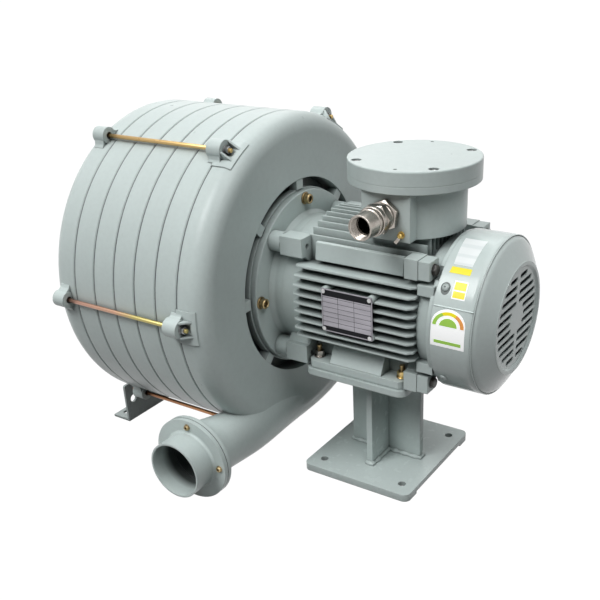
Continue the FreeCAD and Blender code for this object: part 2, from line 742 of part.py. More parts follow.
def drive_end_shield():
    """Flanged end shield between the blower's seat and the frame."""
    start = MOTOR_SEAT_X
    outer = turned_about_shaft([
        (start - REGISTER_DEPTH, 0),
        (start - REGISTER_DEPTH, REGISTER_RADIUS),
        (start, REGISTER_RADIUS),
        (start, FLANGE_RADIUS),
        (FLANGE_FRONT_X, FLANGE_RADIUS, 1.5),
        (FLANGE_FRONT_X, NECK_FLARE),
        (FLANGE_FRONT_X + 7, NECK_RADIUS, 6),
        (FRAME_START_X, NECK_RADIUS),
        (FRAME_START_X, FRAME_BORE),
        (FRAME_START_X + REGISTER_DEPTH, FRAME_BORE - SEAT_CLEARANCE),
        (FRAME_START_X + REGISTER_DEPTH, 0)])
    ears = [rod(SHIELD_EAR_RADIUS, FRAME_START_X - FLANGE_FRONT_X + 1, Vector(FLANGE_FRONT_X - 1, y, z))
            for y, z in lug_centres()]
    shield = joined([outer] + ears)
    bearing = DRIVE_BEARING
    inside = turned_about_shaft([
        (DRIVE_BEARING_X, 0),
        (DRIVE_BEARING_X, bearing["outer"] + SEAT_CLEARANCE),
        (DRIVE_BEARING_X + bearing["width"], bearing["outer"] + SEAT_CLEARANCE),
        (DRIVE_BEARING_X + bearing["width"], bearing["outer"] + BEARING_BOSS + 1),
        (DRIVE_BEARING_X + 6, bearing["outer"] + BEARING_BOSS + 1),
        (DRIVE_BEARING_X + 6, NECK_RADIUS - NECK_WALL - 9),
        (FRAME_START_X + REGISTER_DEPTH + 1, NECK_RADIUS - NECK_WALL - 15),
        (FRAME_START_X + REGISTER_DEPTH + 1, 0)])
    cutters = [inside, rod(SHAFT_WHEEL_RADIUS + 3, 60, Vector(start - 20, 0, SHAFT_HEIGHT))]
    for angle in circle_angles(FLANGE_BOLT_COUNT):
        hole = polar(start - 1, FLANGE_BOLT_PCD / 2, angle)
        cutters.append(rod(FLANGE_BOLT_RADIUS + SCREW_CLEARANCE, FLANGE_THICKNESS + 2, hole))
    for y, z in lug_centres():
        cutters.append(rod(SHIELD_SCREW_RADIUS + SCREW_CLEARANCE, 60, Vector(start - 10, y, z)))
        cutters.append(rod(SHIELD_SCREW_SEAT, SHIELD_SCREW_RADIUS * 2 + 1.5, Vector(start - 0.5, y, z)))
    shield = shield.cut(Part.makeCompound(cutters))
    nave = tube(bearing["outer"] + BEARING_BOSS, bearing["outer"] + SEAT_CLEARANCE, bearing["width"] - 1,
                Vector(DRIVE_BEARING_X - 0.5, 0, SHAFT_HEIGHT))
    return joined([shield, nave])


def drive_shield_screws():
    """Socket screws from the flange's back through the ears into the frame's lugs."""
    screws = []
    head = SHIELD_SCREW_RADIUS * 2
    length = FRAME_START_X + LUG_LENGTH - MOTOR_SEAT_X - head - 6
    for y, z in lug_centres():
        start = Vector(MOTOR_SEAT_X + 1, y, z)
        screws.append(joined([rod(SHIELD_SCREW_SEAT - 1.5, head, start),
                              rod(SHIELD_SCREW_RADIUS, length, start + X_AXIS * (head - 0.5))]))
    return Part.makeCompound(screws)


def fan_end_shield():
    """End shield at the fan's side, with the rim that the fan cover slips over."""
    start = FRAME_END_X
    rim = COVER_RADIUS - COVER_SHEET - SEAT_CLEARANCE
    rim_start = FAN_SHIELD_END_X - FAN_COLLAR_LENGTH
    outer = turned_about_shaft([
        (start - REGISTER_DEPTH, 0),
        (start - REGISTER_DEPTH, FRAME_BORE - SEAT_CLEARANCE),
        (start, FRAME_BORE - SEAT_CLEARANCE),
        (start, NECK_RADIUS),
        (rim_start, NECK_RADIUS, 3),
        (rim_start + 2, rim),
        (FAN_SHIELD_END_X + FAN_RIM_LENGTH, rim, 2),
        (FAN_SHIELD_END_X + FAN_RIM_LENGTH, 0)])
    ears = []
    half = LUG_SIZE / 2 - 1
    for y, z in lug_centres():
        ears.append(block((start, y - half, z - half), (start + FAN_EAR_LENGTH, y + half, z + half)))
        side = math.copysign(1, y)
        rise = math.copysign(1, z - SHAFT_HEIGHT)
        low = SHAFT_HEIGHT + rise * (LUG_OFFSET - LUG_SIZE / 2 - 5)
        high = low - rise * SIDE_PAD_HEIGHT
        pad_y = sorted((side * SIDE_PAD_INNER, side * SIDE_PAD_OUTER))
        ears.append(block((start, pad_y[0], min(low, high)),
                          (start + FAN_SHIELD_DEPTH - 3, pad_y[1], max(low, high))))
    shield = joined([outer] + ears)
    bearing = FAN_BEARING
    housing = bearing["outer"] + SEAT_CLEARANCE
    web = FAN_BEARING_X + bearing["width"]
    inside = turned_about_shaft([
        (start - REGISTER_DEPTH - 1, 0),
        (start - REGISTER_DEPTH - 1, NECK_RADIUS - NECK_WALL - 14),
        (start + 9, NECK_RADIUS - NECK_WALL - 14),
        (start + 9, bearing["outer"] + BEARING_BOSS),
        (FAN_BEARING_X, bearing["outer"] + BEARING_BOSS),
        (FAN_BEARING_X, housing),
        (web, housing),
        (web, 0)])
    outside = turned_about_shaft([
        (web + 5, 0),
        (web + 5, NECK_RADIUS - NECK_WALL),
        (FAN_SHIELD_END_X + FAN_RIM_LENGTH + 1, rim - 5),
        (FAN_SHIELD_END_X + FAN_RIM_LENGTH + 1, 0)])
    cutters = [inside, outside, rod(FAN_BEARING["bore"] + 2, 60, Vector(start, 0, SHAFT_HEIGHT))]
    screw_hole = SHIELD_SCREW_RADIUS + SCREW_CLEARANCE
    for y, z in lug_centres():
        cutters.append(rod(screw_hole, FAN_EAR_LENGTH + 2, Vector(start - 1, y, z)))
        cutters.append(rod(FAN_SPOT_FACE, FAN_SHIELD_DEPTH, Vector(start + FAN_EAR_LENGTH, y, z)))
    for angle in cover_screw_angles():
        cutters.append(cover_screw_bore(COVER_SCREW_RADIUS + SEAT_CLEARANCE, angle))
    return shield.cut(Part.makeCompound(cutters))


def radial_rod(radius, inner, outer, x, angle):
    """Cylinder that points straight out from the shaft."""
    start = polar(x, inner, angle)
    return rod(radius, outer - inner, start, (polar(x, outer, angle) - start).normalize())


def cover_screw_x():
    """Where the fan cover's screws enter the fan shield's rim."""
    return FAN_SHIELD_END_X + COVER_SCREW_INSET


def cover_screw_angles():
    """Angles of the fan cover's screws, two on each side."""
    first = COVER_SCREW_ANGLE
    return [first, 180 - first, 180 + first, 360 - first]


def cover_screw_bore(radius, angle):
    """Radial cylinder as long as a fan cover's screw."""
    inner = COVER_RADIUS - COVER_SCREW_LENGTH - COVER_SHEET
    return radial_rod(radius, inner, COVER_RADIUS, cover_screw_x(), angle)


def fan_shield_screws():
    """Hex screws through the fan shield's ears into the frame's lugs."""
    screws = []
    head_x = FRAME_END_X + FAN_EAR_LENGTH
    for y, z in lug_centres():
        head = hexagon(SCREW_FLATS, SCREW_HEAD, Vector(head_x, y, z))
        shank = rod(SHIELD_SCREW_RADIUS, FAN_EAR_LENGTH + 18, Vector(head_x - FAN_EAR_LENGTH - 18, y, z))
        screws.append(joined([head, shank]))
    return Part.makeCompound(screws)


def flange_bolts():
    """Socket screws through the motor's flange into the blower's motor ring."""
    bolts = []
    for angle in circle_angles(FLANGE_BOLT_COUNT):
        seat = polar(FLANGE_FRONT_X, FLANGE_BOLT_PCD / 2, angle)
        washer = tube(FLANGE_WASHER_RADIUS, FLANGE_BOLT_RADIUS - 0.5, FLANGE_WASHER, seat)
        head = rod(FLANGE_HEAD_RADIUS, FLANGE_HEAD, seat + X_AXIS * FLANGE_WASHER)
        socket = hexagon(FLANGE_HEAD_RADIUS, FLANGE_HEAD, seat + X_AXIS * (FLANGE_WASHER + FLANGE_HEAD / 2))
        shank = rod(FLANGE_BOLT_RADIUS, FLANGE_THICKNESS + 9, seat - X_AXIS * (FLANGE_THICKNESS + 7))
        bolts.append(joined([washer, head, shank]).cut(socket))
    return Part.makeCompound(bolts)


def curved_vane(start_x, length, inner, outer, sweep):
    """Vane of constant thickness along a circular arc from inner to outer radius."""
    first = polar(start_x, inner, 0)
    last = polar(start_x, outer, sweep)
    chord = last - first
    normal = X_AXIS.cross(chord).normalize()
    bow = chord.Length * 0.16 * math.copysign(1, sweep)
    middle = (first + last) * 0.5 - normal * bow
    circle = Part.Circle(first, middle, last)
    centre = circle.Center
    radius = circle.Radius
    points = []
    for grow in (-BLADE_THICKNESS / 2, BLADE_THICKNESS / 2):
        points.append([centre + (p - centre) * ((radius + grow) / radius) for p in (first, middle, last)])
    inner_arc = Part.Arc(*points[0]).toShape()
    outer_arc = Part.Arc(*points[1]).toShape()
    wire = Part.Wire([inner_arc, Part.LineSegment(points[0][2], points[1][2]).toShape(), outer_arc,
                      Part.LineSegment(points[1][0], points[0][0]).toShape()])
    return Part.Face(wire).extrude(X_AXIS * length)


def stage_ring(index):
    """Casing ring with the baffle, return vanes and diaphragm that feed its wheel."""
    start = REAR_JOINT_X + STAGE_PITCH * index
    shell = turned_about_shaft([
        (start, CASING_BORE),
        (start, DRUM_RADIUS - JOINT_CHAMFER),
        (start + JOINT_CHAMFER, DRUM_RADIUS),
        (start + STAGE_PITCH - JOINT_CHAMFER, DRUM_RADIUS),
        (start + STAGE_PITCH, DRUM_RADIUS - JOINT_CHAMFER),
        (start + STAGE_PITCH, CASING_BORE)])
    baffle_x = start + BAFFLE_SETBACK
    vane_x = baffle_x + BAFFLE_THICKNESS
    wall_x = vane_x + VANE_HEIGHT
    baffle = turned_about_shaft([
        (baffle_x, SPACER_RADIUS + WHEEL_GAP),
        (baffle_x, BAFFLE_RADIUS),
        (vane_x, BAFFLE_RADIUS),
        (vane_x, SPACER_RADIUS + WHEEL_GAP)])
    wall = turned_about_shaft([
        (wall_x, EYE_RADIUS + WHEEL_GAP),
        (wall_x, CASING_BORE + 1),
        (wall_x + DIAPHRAGM_THICKNESS, CASING_BORE + 1),
        (wall_x + DIAPHRAGM_THICKNESS, EYE_RADIUS + WHEEL_GAP)])
    vane = curved_vane(vane_x - 0.5, VANE_HEIGHT + 1, VANE_INNER_RADIUS, VANE_OUTER_RADIUS, VANE_SWEEP)
    vanes = [about_shaft(vane, angle) for angle in circle_angles(VANE_COUNT)]
    return joined([shell, wall, baffle] + vanes)


def impeller():
    """Closed wheel of the first stage: hub, back disc, curved blades and shroud."""
    back = FIRST_WHEEL_X
    front = back - WHEEL_WIDTH
    body = turned_about_shaft([
        (back + 1, 0),
        (back + 1, WHEEL_HUB_RADIUS),
        (back, WHEEL_HUB_RADIUS),
        (back, WHEEL_RADIUS),
        (back - WHEEL_DISC, WHEEL_RADIUS),
        (back - WHEEL_DISC, WHEEL_HUB_RADIUS + 6),
        (back + 1 - WHEEL_HUB_LENGTH, WHEEL_HUB_RADIUS - 3),
        (back + 1 - WHEEL_HUB_LENGTH, 0)])
    shroud = turned_about_shaft([
        (front - EYE_COLLAR, EYE_RADIUS - 2),
        (front - EYE_COLLAR, EYE_RADIUS),
        (front, EYE_RADIUS),
        (front, WHEEL_RADIUS),
        (front + WHEEL_DISC, WHEEL_RADIUS),
        (front + WHEEL_DISC, EYE_RADIUS - 2)])
    blade = curved_vane(front + WHEEL_DISC - 0.5, WHEEL_WIDTH - 2 * WHEEL_DISC + 1, EYE_RADIUS + 4,
                        WHEEL_RADIUS - 1, BLADE_SWEEP)
    blades = [about_shaft(blade, angle) for angle in circle_angles(BLADE_COUNT)]
    wheel = joined([body, shroud] + blades)
    bore = rod(SHAFT_WHEEL_RADIUS + SEAT_CLEARANCE, 60, Vector(back - 40, 0, SHAFT_HEIGHT))
    return wheel.cut(bore)


def wheel_spacers():
    """Distance sleeves between the wheels, the last one running in the shaft seal."""
    sleeves = []
    for i in range(RING_COUNT + 1):
        start = FIRST_WHEEL_X + 1 + STAGE_PITCH * i
        end = start + STAGE_PITCH - WHEEL_HUB_LENGTH
        if i == RING_COUNT:
            end = SHAFT_SHOULDER_X
        sleeves.append(tube(SPACER_RADIUS, SHAFT_WHEEL_RADIUS + SEAT_CLEARANCE, end - start,
                            Vector(start, 0, SHAFT_HEIGHT)))
    return Part.makeCompound(sleeves)


def rear_cover():
    """Rear casing with the inlet eye, the ears of the tie rods and the bracket's bosses."""
    shell = turned_about_shaft([
        (REAR_FACE_X, 0),
        (REAR_FACE_X, DRUM_RADIUS, REAR_CORNER),
        (REAR_JOINT_X - JOINT_CHAMFER, DRUM_RADIUS),
        (REAR_JOINT_X, DRUM_RADIUS - JOINT_CHAMFER),
        (REAR_JOINT_X, 0)])
    ear_x = REAR_JOINT_X - REAR_EAR_SETBACK - REAR_EAR_LENGTH
    ears = []
    for angle in circle_angles(ROD_COUNT):
        ears.append(rod(REAR_EAR_RADIUS, REAR_EAR_LENGTH, polar(ear_x, ROD_CIRCLE_RADIUS, angle)))
        ears.append(about_shaft(ear_root(ear_x + 2, REAR_EAR_LENGTH - 4, REAR_EAR_RADIUS), angle))
    cavity = turned_about_shaft([
        (REAR_FACE_X + CASING_WALL, 0),
        (REAR_FACE_X + CASING_WALL, CASING_BORE, REAR_CORNER - CASING_WALL),
        (REAR_JOINT_X + 1, CASING_BORE),
        (REAR_JOINT_X + 1, 0)])
    collar_end = FIRST_WHEEL_X - WHEEL_WIDTH - 2
    collar = tube(EYE_RADIUS + WHEEL_GAP + 7, EYE_RADIUS + WHEEL_GAP, collar_end - REAR_FACE_X,
                  Vector(REAR_FACE_X, 0, SHAFT_HEIGHT))
    bosses = []
    cutters = [rod(EYE_RADIUS + WHEEL_GAP, 60, Vector(REAR_FACE_X - 5, 0, SHAFT_HEIGHT))]
    for y in (-BRACKET_BOLT_Y, BRACKET_BOLT_Y):
        bosses.append(rod(BRACKET_BOSS_RADIUS, BOSS_LENGTH, Vector(REAR_FACE_X + 1, y, BRACKET_BOLT_Z)))
        hole = Vector(REAR_FACE_X - 1, y, BRACKET_BOLT_Z)
        cutters.append(rod(BRACKET_BOLT_RADIUS + SEAT_CLEARANCE, BOSS_LENGTH - 2, hole))
    for angle in circle_angles(INLET_BOLT_COUNT, 45):
        seat = polar(REAR_FACE_X, INLET_PCD / 2, angle)
        bosses.append(rod(INLET_BOSS_RADIUS, BOSS_LENGTH - 2, seat + X_AXIS))
        cutters.append(rod(INLET_BOLT_RADIUS + SEAT_CLEARANCE, BOSS_LENGTH - 3, seat - X_AXIS))
    for angle in circle_angles(ROD_COUNT):
        cutters.append(rod(ROD_HOLE_RADIUS, REAR_EAR_LENGTH + 2, polar(ear_x - 1, ROD_CIRCLE_RADIUS, angle)))
    cover = joined([shell] + ears).cut(cavity)
    return joined([cover, collar] + bosses).cut(Part.makeCompound(cutters))


def ellipse_across(centre, along, half_width, half_height):
    """Elliptical section of the discharge pipe; its long axis lies in the pipe's plane."""
    across = X_AXIS
    up = along.cross(across).normalize()
    half_height = max(half_height, half_width + 0.01)
    ellipse = Part.Ellipse(centre + up * half_height, centre + across * half_width, centre)
    return Part.Wire([ellipse.toShape()])


def discharge_pipe(shrink):
    """Loft of the discharge pipe, from its round mouth back into the scroll."""
    mouth_y = PIPE_MOUTH_Y
    scroll_x = FRONT_JOINT_X + SCROLL_HALF_WIDTH
    tall = PIPE_RADIUS - 1
    stations = [
        (DISCHARGE_X, mouth_y - 0.01, DISCHARGE_Z, PIPE_RADIUS - shrink * 0.8, PIPE_RADIUS - shrink * 0.8),
        (DISCHARGE_X, mouth_y + 14, DISCHARGE_Z, PIPE_RADIUS - shrink * 0.8, PIPE_RADIUS - shrink * 0.8),
        (scroll_x - 9, mouth_y + 57, DISCHARGE_Z, SCROLL_HALF_WIDTH + 12 - shrink, tall - shrink),
        (scroll_x + 1, mouth_y + 103, DISCHARGE_Z, SCROLL_HALF_WIDTH + 3 - shrink, tall - shrink),
        (scroll_x, -40, DISCHARGE_Z, SCROLL_HALF_WIDTH - shrink, tall - shrink)]
    wires = []
    for x, y, z, half_width, half_height in stations:
        wires.append(ellipse_across(Vector(x, y, z), Y_AXIS, half_width, half_height))
    rounds = ((-72, 262, 22, 44), (-52, 258, 21, 42), (-32, 250, 20, 40))
    for angle, reach, half_width, half_height in rounds:
        centre = polar(scroll_x - 1, reach - half_height, angle)
        turn = math.radians(angle)
        along = Vector(0, -math.sin(turn), math.cos(turn))
        wires.append(ellipse_across(centre, along, half_width - shrink, half_height - shrink))
    return Part.makeLoft(wires, True, False)


def ear_root(start_x, length, radius):
    """Flared root that blends an ear of that radius into the drum, built at +Y."""
    sides = []
    for side in (-1, 1):
        sides.append([(DRUM_RADIUS - 4, SHAFT_HEIGHT + side * EAR_ROOT),
                      (DRUM_RADIUS, SHAFT_HEIGHT + side * EAR_ROOT * 0.92),
                      (DRUM_RADIUS + ROD_STANDOFF * 0.35, SHAFT_HEIGHT + side * EAR_ROOT * 0.74),
                      (ROD_CIRCLE_RADIUS + 2, SHAFT_HEIGHT + side * (radius - 1))])
    return cross_plate(sides[0] + sides[1][::-1], start_x, length)


def front_ear(angle):
    """Ear of a tie rod with its two prongs, built at +Y and turned to its place."""
    boss = rod(EAR_RADIUS, FRONT_EAR_OVERHANG + FRONT_EAR_LAND,
               Vector(FRONT_JOINT_X - FRONT_EAR_OVERHANG, ROD_CIRCLE_RADIUS, SHAFT_HEIGHT))
    root_length = FRONT_EAR_OVERHANG + FRONT_EAR_LAND - 4
    root = ear_root(FRONT_JOINT_X - FRONT_EAR_OVERHANG + 2, root_length, EAR_RADIUS)
    pieces = [boss, root]
    if angle not in SCROLL_ROD_ANGLES:
        start = FRONT_JOINT_X + FRONT_EAR_LAND - 1
        for side in (-1, 1):
            middle = SHAFT_HEIGHT + side * PRONG_SPREAD
            points = [(start, DRUM_RADIUS - 8),
                      (start, ROD_CIRCLE_RADIUS + 6),
                      (start + 3, ROD_CIRCLE_RADIUS + 6),
                      (start + PRONG_LENGTH, DRUM_RADIUS - 1),
                      (start + PRONG_LENGTH, DRUM_RADIUS - 8)]
            prong = flat_plate(points, middle - PRONG_THICKNESS / 2, PRONG_THICKNESS)
            pieces.append(prong)
        raised = turned_about_shaft([
            (FRONT_JOINT_X, 0),
            (FRONT_JOINT_X, DRUM_RADIUS + PAD_HEIGHT),
            (FRONT_FACE_X + PAD_HEIGHT, DRUM_RADIUS + PAD_HEIGHT, FRONT_CORNER + PAD_HEIGHT),
            (FRONT_FACE_X + PAD_HEIGHT, 0)])
        window = block((FRONT_JOINT_X, DRUM_RADIUS - 20, SHAFT_HEIGHT - PAD_WIDTH / 2),
                       (FRONT_JOINT_X + PAD_LENGTH, DRUM_RADIUS + 10, SHAFT_HEIGHT + PAD_WIDTH / 2))
        pieces.append(raised.common(window))
    return about_shaft(joined(pieces), angle)


def front_cover():
    """Front casing: bell, motor seat on spokes, discharge scroll and tie-rod ears."""
    bell = turned_about_shaft([
        (FRONT_JOINT_X, 0),
        (FRONT_JOINT_X, DRUM_RADIUS - JOINT_CHAMFER),
        (FRONT_JOINT_X + JOINT_CHAMFER, DRUM_RADIUS),
        (FRONT_FACE_X, DRUM_RADIUS, FRONT_CORNER),
        (FRONT_FACE_X, 0)])
    mouth = Vector(DISCHARGE_X, PIPE_MOUTH_Y, DISCHARGE_Z)
    flange = rod(DISCHARGE_FLANGE_RADIUS, DISCHARGE_FLANGE_THICKNESS, mouth, Y_AXIS)
    ears = [front_ear(angle) for angle in circle_angles(ROD_COUNT)]
    outer = joined([bell, discharge_pipe(0), flange] + ears)
    beside_drum = turned_about_shaft([
        (REAR_JOINT_X, 0),
        (REAR_JOINT_X, DRUM_RADIUS + EAR_GAP),
        (FRONT_JOINT_X, DRUM_RADIUS + EAR_GAP),
        (FRONT_JOINT_X, 0)])
    wall_outer = WINDOW_OUTER_RADIUS + CASING_WALL
    volute = turned_about_shaft([
        (FRONT_JOINT_X - 1, 0),
        (FRONT_JOINT_X - 1, CASING_BORE),
        (FRONT_FACE_X - CASING_WALL, CASING_BORE, FRONT_CORNER - CASING_WALL),
        (FRONT_FACE_X - CASING_WALL, wall_outer),
        (PRESSURE_WALL_X, wall_outer),
        (PRESSURE_WALL_X, 0)])
    pocket = turned_about_shaft([
        (FRONT_FACE_X - POCKET_DEPTH, HUB_OUTER_RADIUS),
        (FRONT_FACE_X - POCKET_DEPTH, WINDOW_OUTER_RADIUS),
        (FRONT_FACE_X + 1, WINDOW_OUTER_RADIUS),
        (FRONT_FACE_X + 1, 0),
        (MOTOR_SEAT_X, 0),
        (MOTOR_SEAT_X, HUB_OUTER_RADIUS)])
    hub_bore = turned_about_shaft([
        (PRESSURE_WALL_X + PRESSURE_WALL, 0),
        (PRESSURE_WALL_X + PRESSURE_WALL, HUB_BORE),
        (FRONT_FACE_X + 1, HUB_BORE),
        (FRONT_FACE_X + 1, 0)])
    for cutter in (beside_drum, volute, pocket, hub_bore, discharge_pipe(PIPE_WALL)):
        outer = outer.cut(cutter)
    return finish_front_cover(outer)


def finish_front_cover(cover):
    """Adds the motor ring, its spokes and the seal boss, then drills the cover."""
    ring_back = MOTOR_SEAT_X - MOTOR_RING_THICKNESS
    ring = tube(MOTOR_RING_RADIUS, HUB_BORE, MOTOR_RING_THICKNESS, Vector(ring_back, 0, SHAFT_HEIGHT))
    hub = tube(HUB_OUTER_RADIUS + 1, HUB_BORE, MOTOR_SEAT_X - PRESSURE_WALL_X - PRESSURE_WALL,
               Vector(PRESSURE_WALL_X + PRESSURE_WALL - 0.5, 0, SHAFT_HEIGHT))
    seal_boss = rod(SEAL_RADIUS + 6, SEAL_LENGTH, Vector(PRESSURE_WALL_X, 0, SHAFT_HEIGHT))
    spokes = []
    for angle in circle_angles(WINDOW_COUNT):
        low = (MOTOR_SEAT_X - SPOKE_THICKNESS, MOTOR_RING_RADIUS - 6, SHAFT_HEIGHT - SPOKE_WIDTH / 2)
        high = (FRONT_FACE_X - SPOKE_SETBACK, WINDOW_OUTER_RADIUS + 3, SHAFT_HEIGHT + SPOKE_WIDTH / 2)
        clear = rod(MOTOR_RING_RADIUS, SEAT_SETBACK, Vector(MOTOR_SEAT_X, 0, SHAFT_HEIGHT))
        spokes.append(about_shaft(block(low, high).cut(clear), angle))
    body = joined([cover, ring, hub, seal_boss] + spokes)
    cutters = [
        rod(REGISTER_RADIUS + SEAT_CLEARANCE, REGISTER_DEPTH + 1.5,
            Vector(MOTOR_SEAT_X - REGISTER_DEPTH - 0.5, 0, SHAFT_HEIGHT)),
        rod(SPACER_RADIUS + WHEEL_GAP, 60, Vector(PRESSURE_WALL_X - 20, 0, SHAFT_HEIGHT)),
        rod(SEAL_RADIUS + SEAT_CLEARANCE, SEAL_LENGTH, Vector(PRESSURE_WALL_X + 2, 0, SHAFT_HEIGHT))]
    for angle in circle_angles(FLANGE_BOLT_COUNT):
        hole = polar(ring_back - 2, FLANGE_BOLT_PCD / 2, angle)
        cutters.append(rod(FLANGE_BOLT_RADIUS + SEAT_CLEARANCE, MOTOR_RING_THICKNESS + 4, hole))
    for angle in circle_angles(ROD_COUNT):
        start = polar(FRONT_JOINT_X - FRONT_EAR_OVERHANG - 1, ROD_CIRCLE_RADIUS, angle)
        if angle in SCROLL_ROD_ANGLES:
            cutters.append(rod(ROD_RADIUS + SEAT_CLEARANCE, ROD_THREAD_DEPTH + 1, start))
        else:
            through = FRONT_EAR_OVERHANG + FRONT_EAR_LAND + PRONG_LENGTH
            cutters.append(rod(ROD_HOLE_RADIUS, through, start))
            spot_face = polar(FRONT_JOINT_X + FRONT_EAR_LAND, ROD_CIRCLE_RADIUS, angle)
            depth = ROD_WASHER_THICKNESS + ROD_NUT_HEIGHT + ROD_END + SCREW_CLEARANCE
            cutters.append(rod(SPOT_FACE_RADIUS, depth, spot_face))
    for x, z in discharge_bolt_places():
        cutters.append(rod(DISCHARGE_BOLT_RADIUS + SCREW_CLEARANCE, DISCHARGE_FLANGE_THICKNESS + 2,
                           Vector(x, DISCHARGE_FLANGE_Y + DISCHARGE_FLANGE_THICKNESS, z), Y_AXIS))
    return body.cut(Part.makeCompound(cutters))


def discharge_bolt_places():
    """The (x, z) places of the bolts round the discharge."""
    places = []
    for angle in circle_angles(DISCHARGE_BOLT_COUNT):
        turn = math.radians(angle)
        places.append((DISCHARGE_X + DISCHARGE_PCD / 2 * math.cos(turn),
                       DISCHARGE_Z + DISCHARGE_PCD / 2 * math.sin(turn)))
    return places


def turned_about_discharge(points):
    """Solid of revolution about the discharge from (y, radius) points."""
    face = outline(points, lambda p: Vector(DISCHARGE_X, p.x, DISCHARGE_Z + p.y))
    return face.revolve(Vector(DISCHARGE_X, 0, DISCHARGE_Z), Y_AXIS, 360)


def discharge_spigot():
    """Spun hose spigot with its flange."""
    end = DISCHARGE_FLANGE_Y - SPIGOT_LENGTH
    back = DISCHARGE_FLANGE_Y + DISCHARGE_FLANGE_THICKNESS
    spigot = turned_about_discharge([
        (end, SPIGOT_RADIUS - SPIGOT_WALL),
        (end, SPIGOT_RADIUS),
        (DISCHARGE_FLANGE_Y, SPIGOT_RADIUS, SPIGOT_FILLET),
        (DISCHARGE_FLANGE_Y, DISCHARGE_FLANGE_RADIUS),
        (back, DISCHARGE_FLANGE_RADIUS),
        (back, SPIGOT_RADIUS - SPIGOT_WALL)])
    holes = [rod(DISCHARGE_BOLT_RADIUS + SCREW_CLEARANCE, 30, Vector(x, DISCHARGE_FLANGE_Y - 10, z), Y_AXIS)
             for x, z in discharge_bolt_places()]
    return spigot.cut(Part.makeCompound(holes))


def discharge_gasket():
    """Gasket between spigot and casting."""
    start = Vector(DISCHARGE_X, DISCHARGE_FLANGE_Y + DISCHARGE_FLANGE_THICKNESS, DISCHARGE_Z)
    sheet = tube(DISCHARGE_FLANGE_RADIUS - 1, PIPE_RADIUS, GASKET_THICKNESS, start, Y_AXIS)
    holes = [rod(DISCHARGE_BOLT_RADIUS + SCREW_CLEARANCE, 30, Vector(x, DISCHARGE_FLANGE_Y - 10, z), Y_AXIS)
             for x, z in discharge_bolt_places()]
    return sheet.cut(Part.makeCompound(holes))


def discharge_bolts():
    """Cap screws with nuts behind the discharge flange."""
    bolts = []
    grip = 2 * DISCHARGE_FLANGE_THICKNESS + GASKET_THICKNESS
    for x, z in discharge_bolt_places():
        seat = Vector(x, DISCHARGE_FLANGE_Y, z)
        head = rod(DISCHARGE_HEAD_RADIUS, DISCHARGE_HEAD_HEIGHT, seat, -Y_AXIS)
        shank = rod(DISCHARGE_BOLT_RADIUS, grip + 7, seat, Y_AXIS)
        nut = hexagon(DISCHARGE_NUT_FLATS, DISCHARGE_NUT_HEIGHT, seat + Y_AXIS * grip, Y_AXIS)
        bolts.append(joined([head, shank, nut]))
    return Part.makeCompound(bolts)


def inlet_spigot():
    """Hose spigot over the inlet eye."""
    end = REAR_FACE_X - INLET_FLANGE_THICKNESS - INLET_SPIGOT_LENGTH
    flange_x = REAR_FACE_X - INLET_FLANGE_THICKNESS
    seat_x = REAR_FACE_X - GUARD_THICKNESS
    spigot = turned_about_shaft([
        (REAR_FACE_X, GUARD_RADIUS),
        (REAR_FACE_X, INLET_FLANGE_RADIUS),
        (flange_x, INLET_FLANGE_RADIUS, 2),
        (flange_x, INLET_SPIGOT_RADIUS + INLET_SPIGOT_WALL, SPIGOT_FILLET),
        (end, INLET_SPIGOT_RADIUS + INLET_SPIGOT_WALL),
        (end, INLET_SPIGOT_RADIUS),
        (seat_x - INLET_BEVEL, INLET_SPIGOT_RADIUS),
        (seat_x, INLET_SPIGOT_RADIUS + INLET_BEVEL),
        (seat_x, GUARD_RADIUS)])
    holes = [rod(INLET_BOLT_RADIUS + SCREW_CLEARANCE, 30, polar(REAR_FACE_X - 20, INLET_PCD / 2, angle))
             for angle in circle_angles(INLET_BOLT_COUNT, 45)]
    return spigot.cut(Part.makeCompound(holes))


def inlet_guard():
    """Finger guard of flat bars in a ring, clamped in the step behind the spigot's flange."""
    start = REAR_FACE_X - GUARD_THICKNESS + SEAT_CLEARANCE
    outer = GUARD_RADIUS - SEAT_CLEARANCE
    inner = INLET_SPIGOT_RADIUS + INLET_BEVEL
    ring = tube(outer, inner, GUARD_THICKNESS - SEAT_CLEARANCE, Vector(start, 0, SHAFT_HEIGHT))
    bars = []
    pitch = 2 * inner / (GUARD_BAR_COUNT + 1)
    half_bar = GUARD_BAR / 2
    depth = GUARD_THICKNESS - SEAT_CLEARANCE
    for i in range(GUARD_BAR_COUNT):
        z = -inner + pitch * (i + 1)
        reach = math.sqrt(inner ** 2 - z ** 2) + 2
        bars.append(block((start, -reach, SHAFT_HEIGHT + z - half_bar),
                          (start + depth, reach, SHAFT_HEIGHT + z + half_bar)))
    bars.append(block((start, -half_bar, SHAFT_HEIGHT - inner - 2),
                      (start + depth, half_bar, SHAFT_HEIGHT + inner + 2)))
    return joined([ring] + bars)


def inlet_bolts():
    """Hex screws of the inlet flange."""
    screws = []
    for angle in circle_angles(INLET_BOLT_COUNT, 45):
        seat = polar(REAR_FACE_X - INLET_FLANGE_THICKNESS, INLET_PCD / 2, angle)
        head = hexagon(INLET_HEAD_FLATS, INLET_HEAD, seat - X_AXIS * INLET_HEAD)
        screws.append(joined([head, rod(INLET_BOLT_RADIUS, INLET_FLANGE_THICKNESS + 12, seat)]))
    return Part.makeCompound(screws)


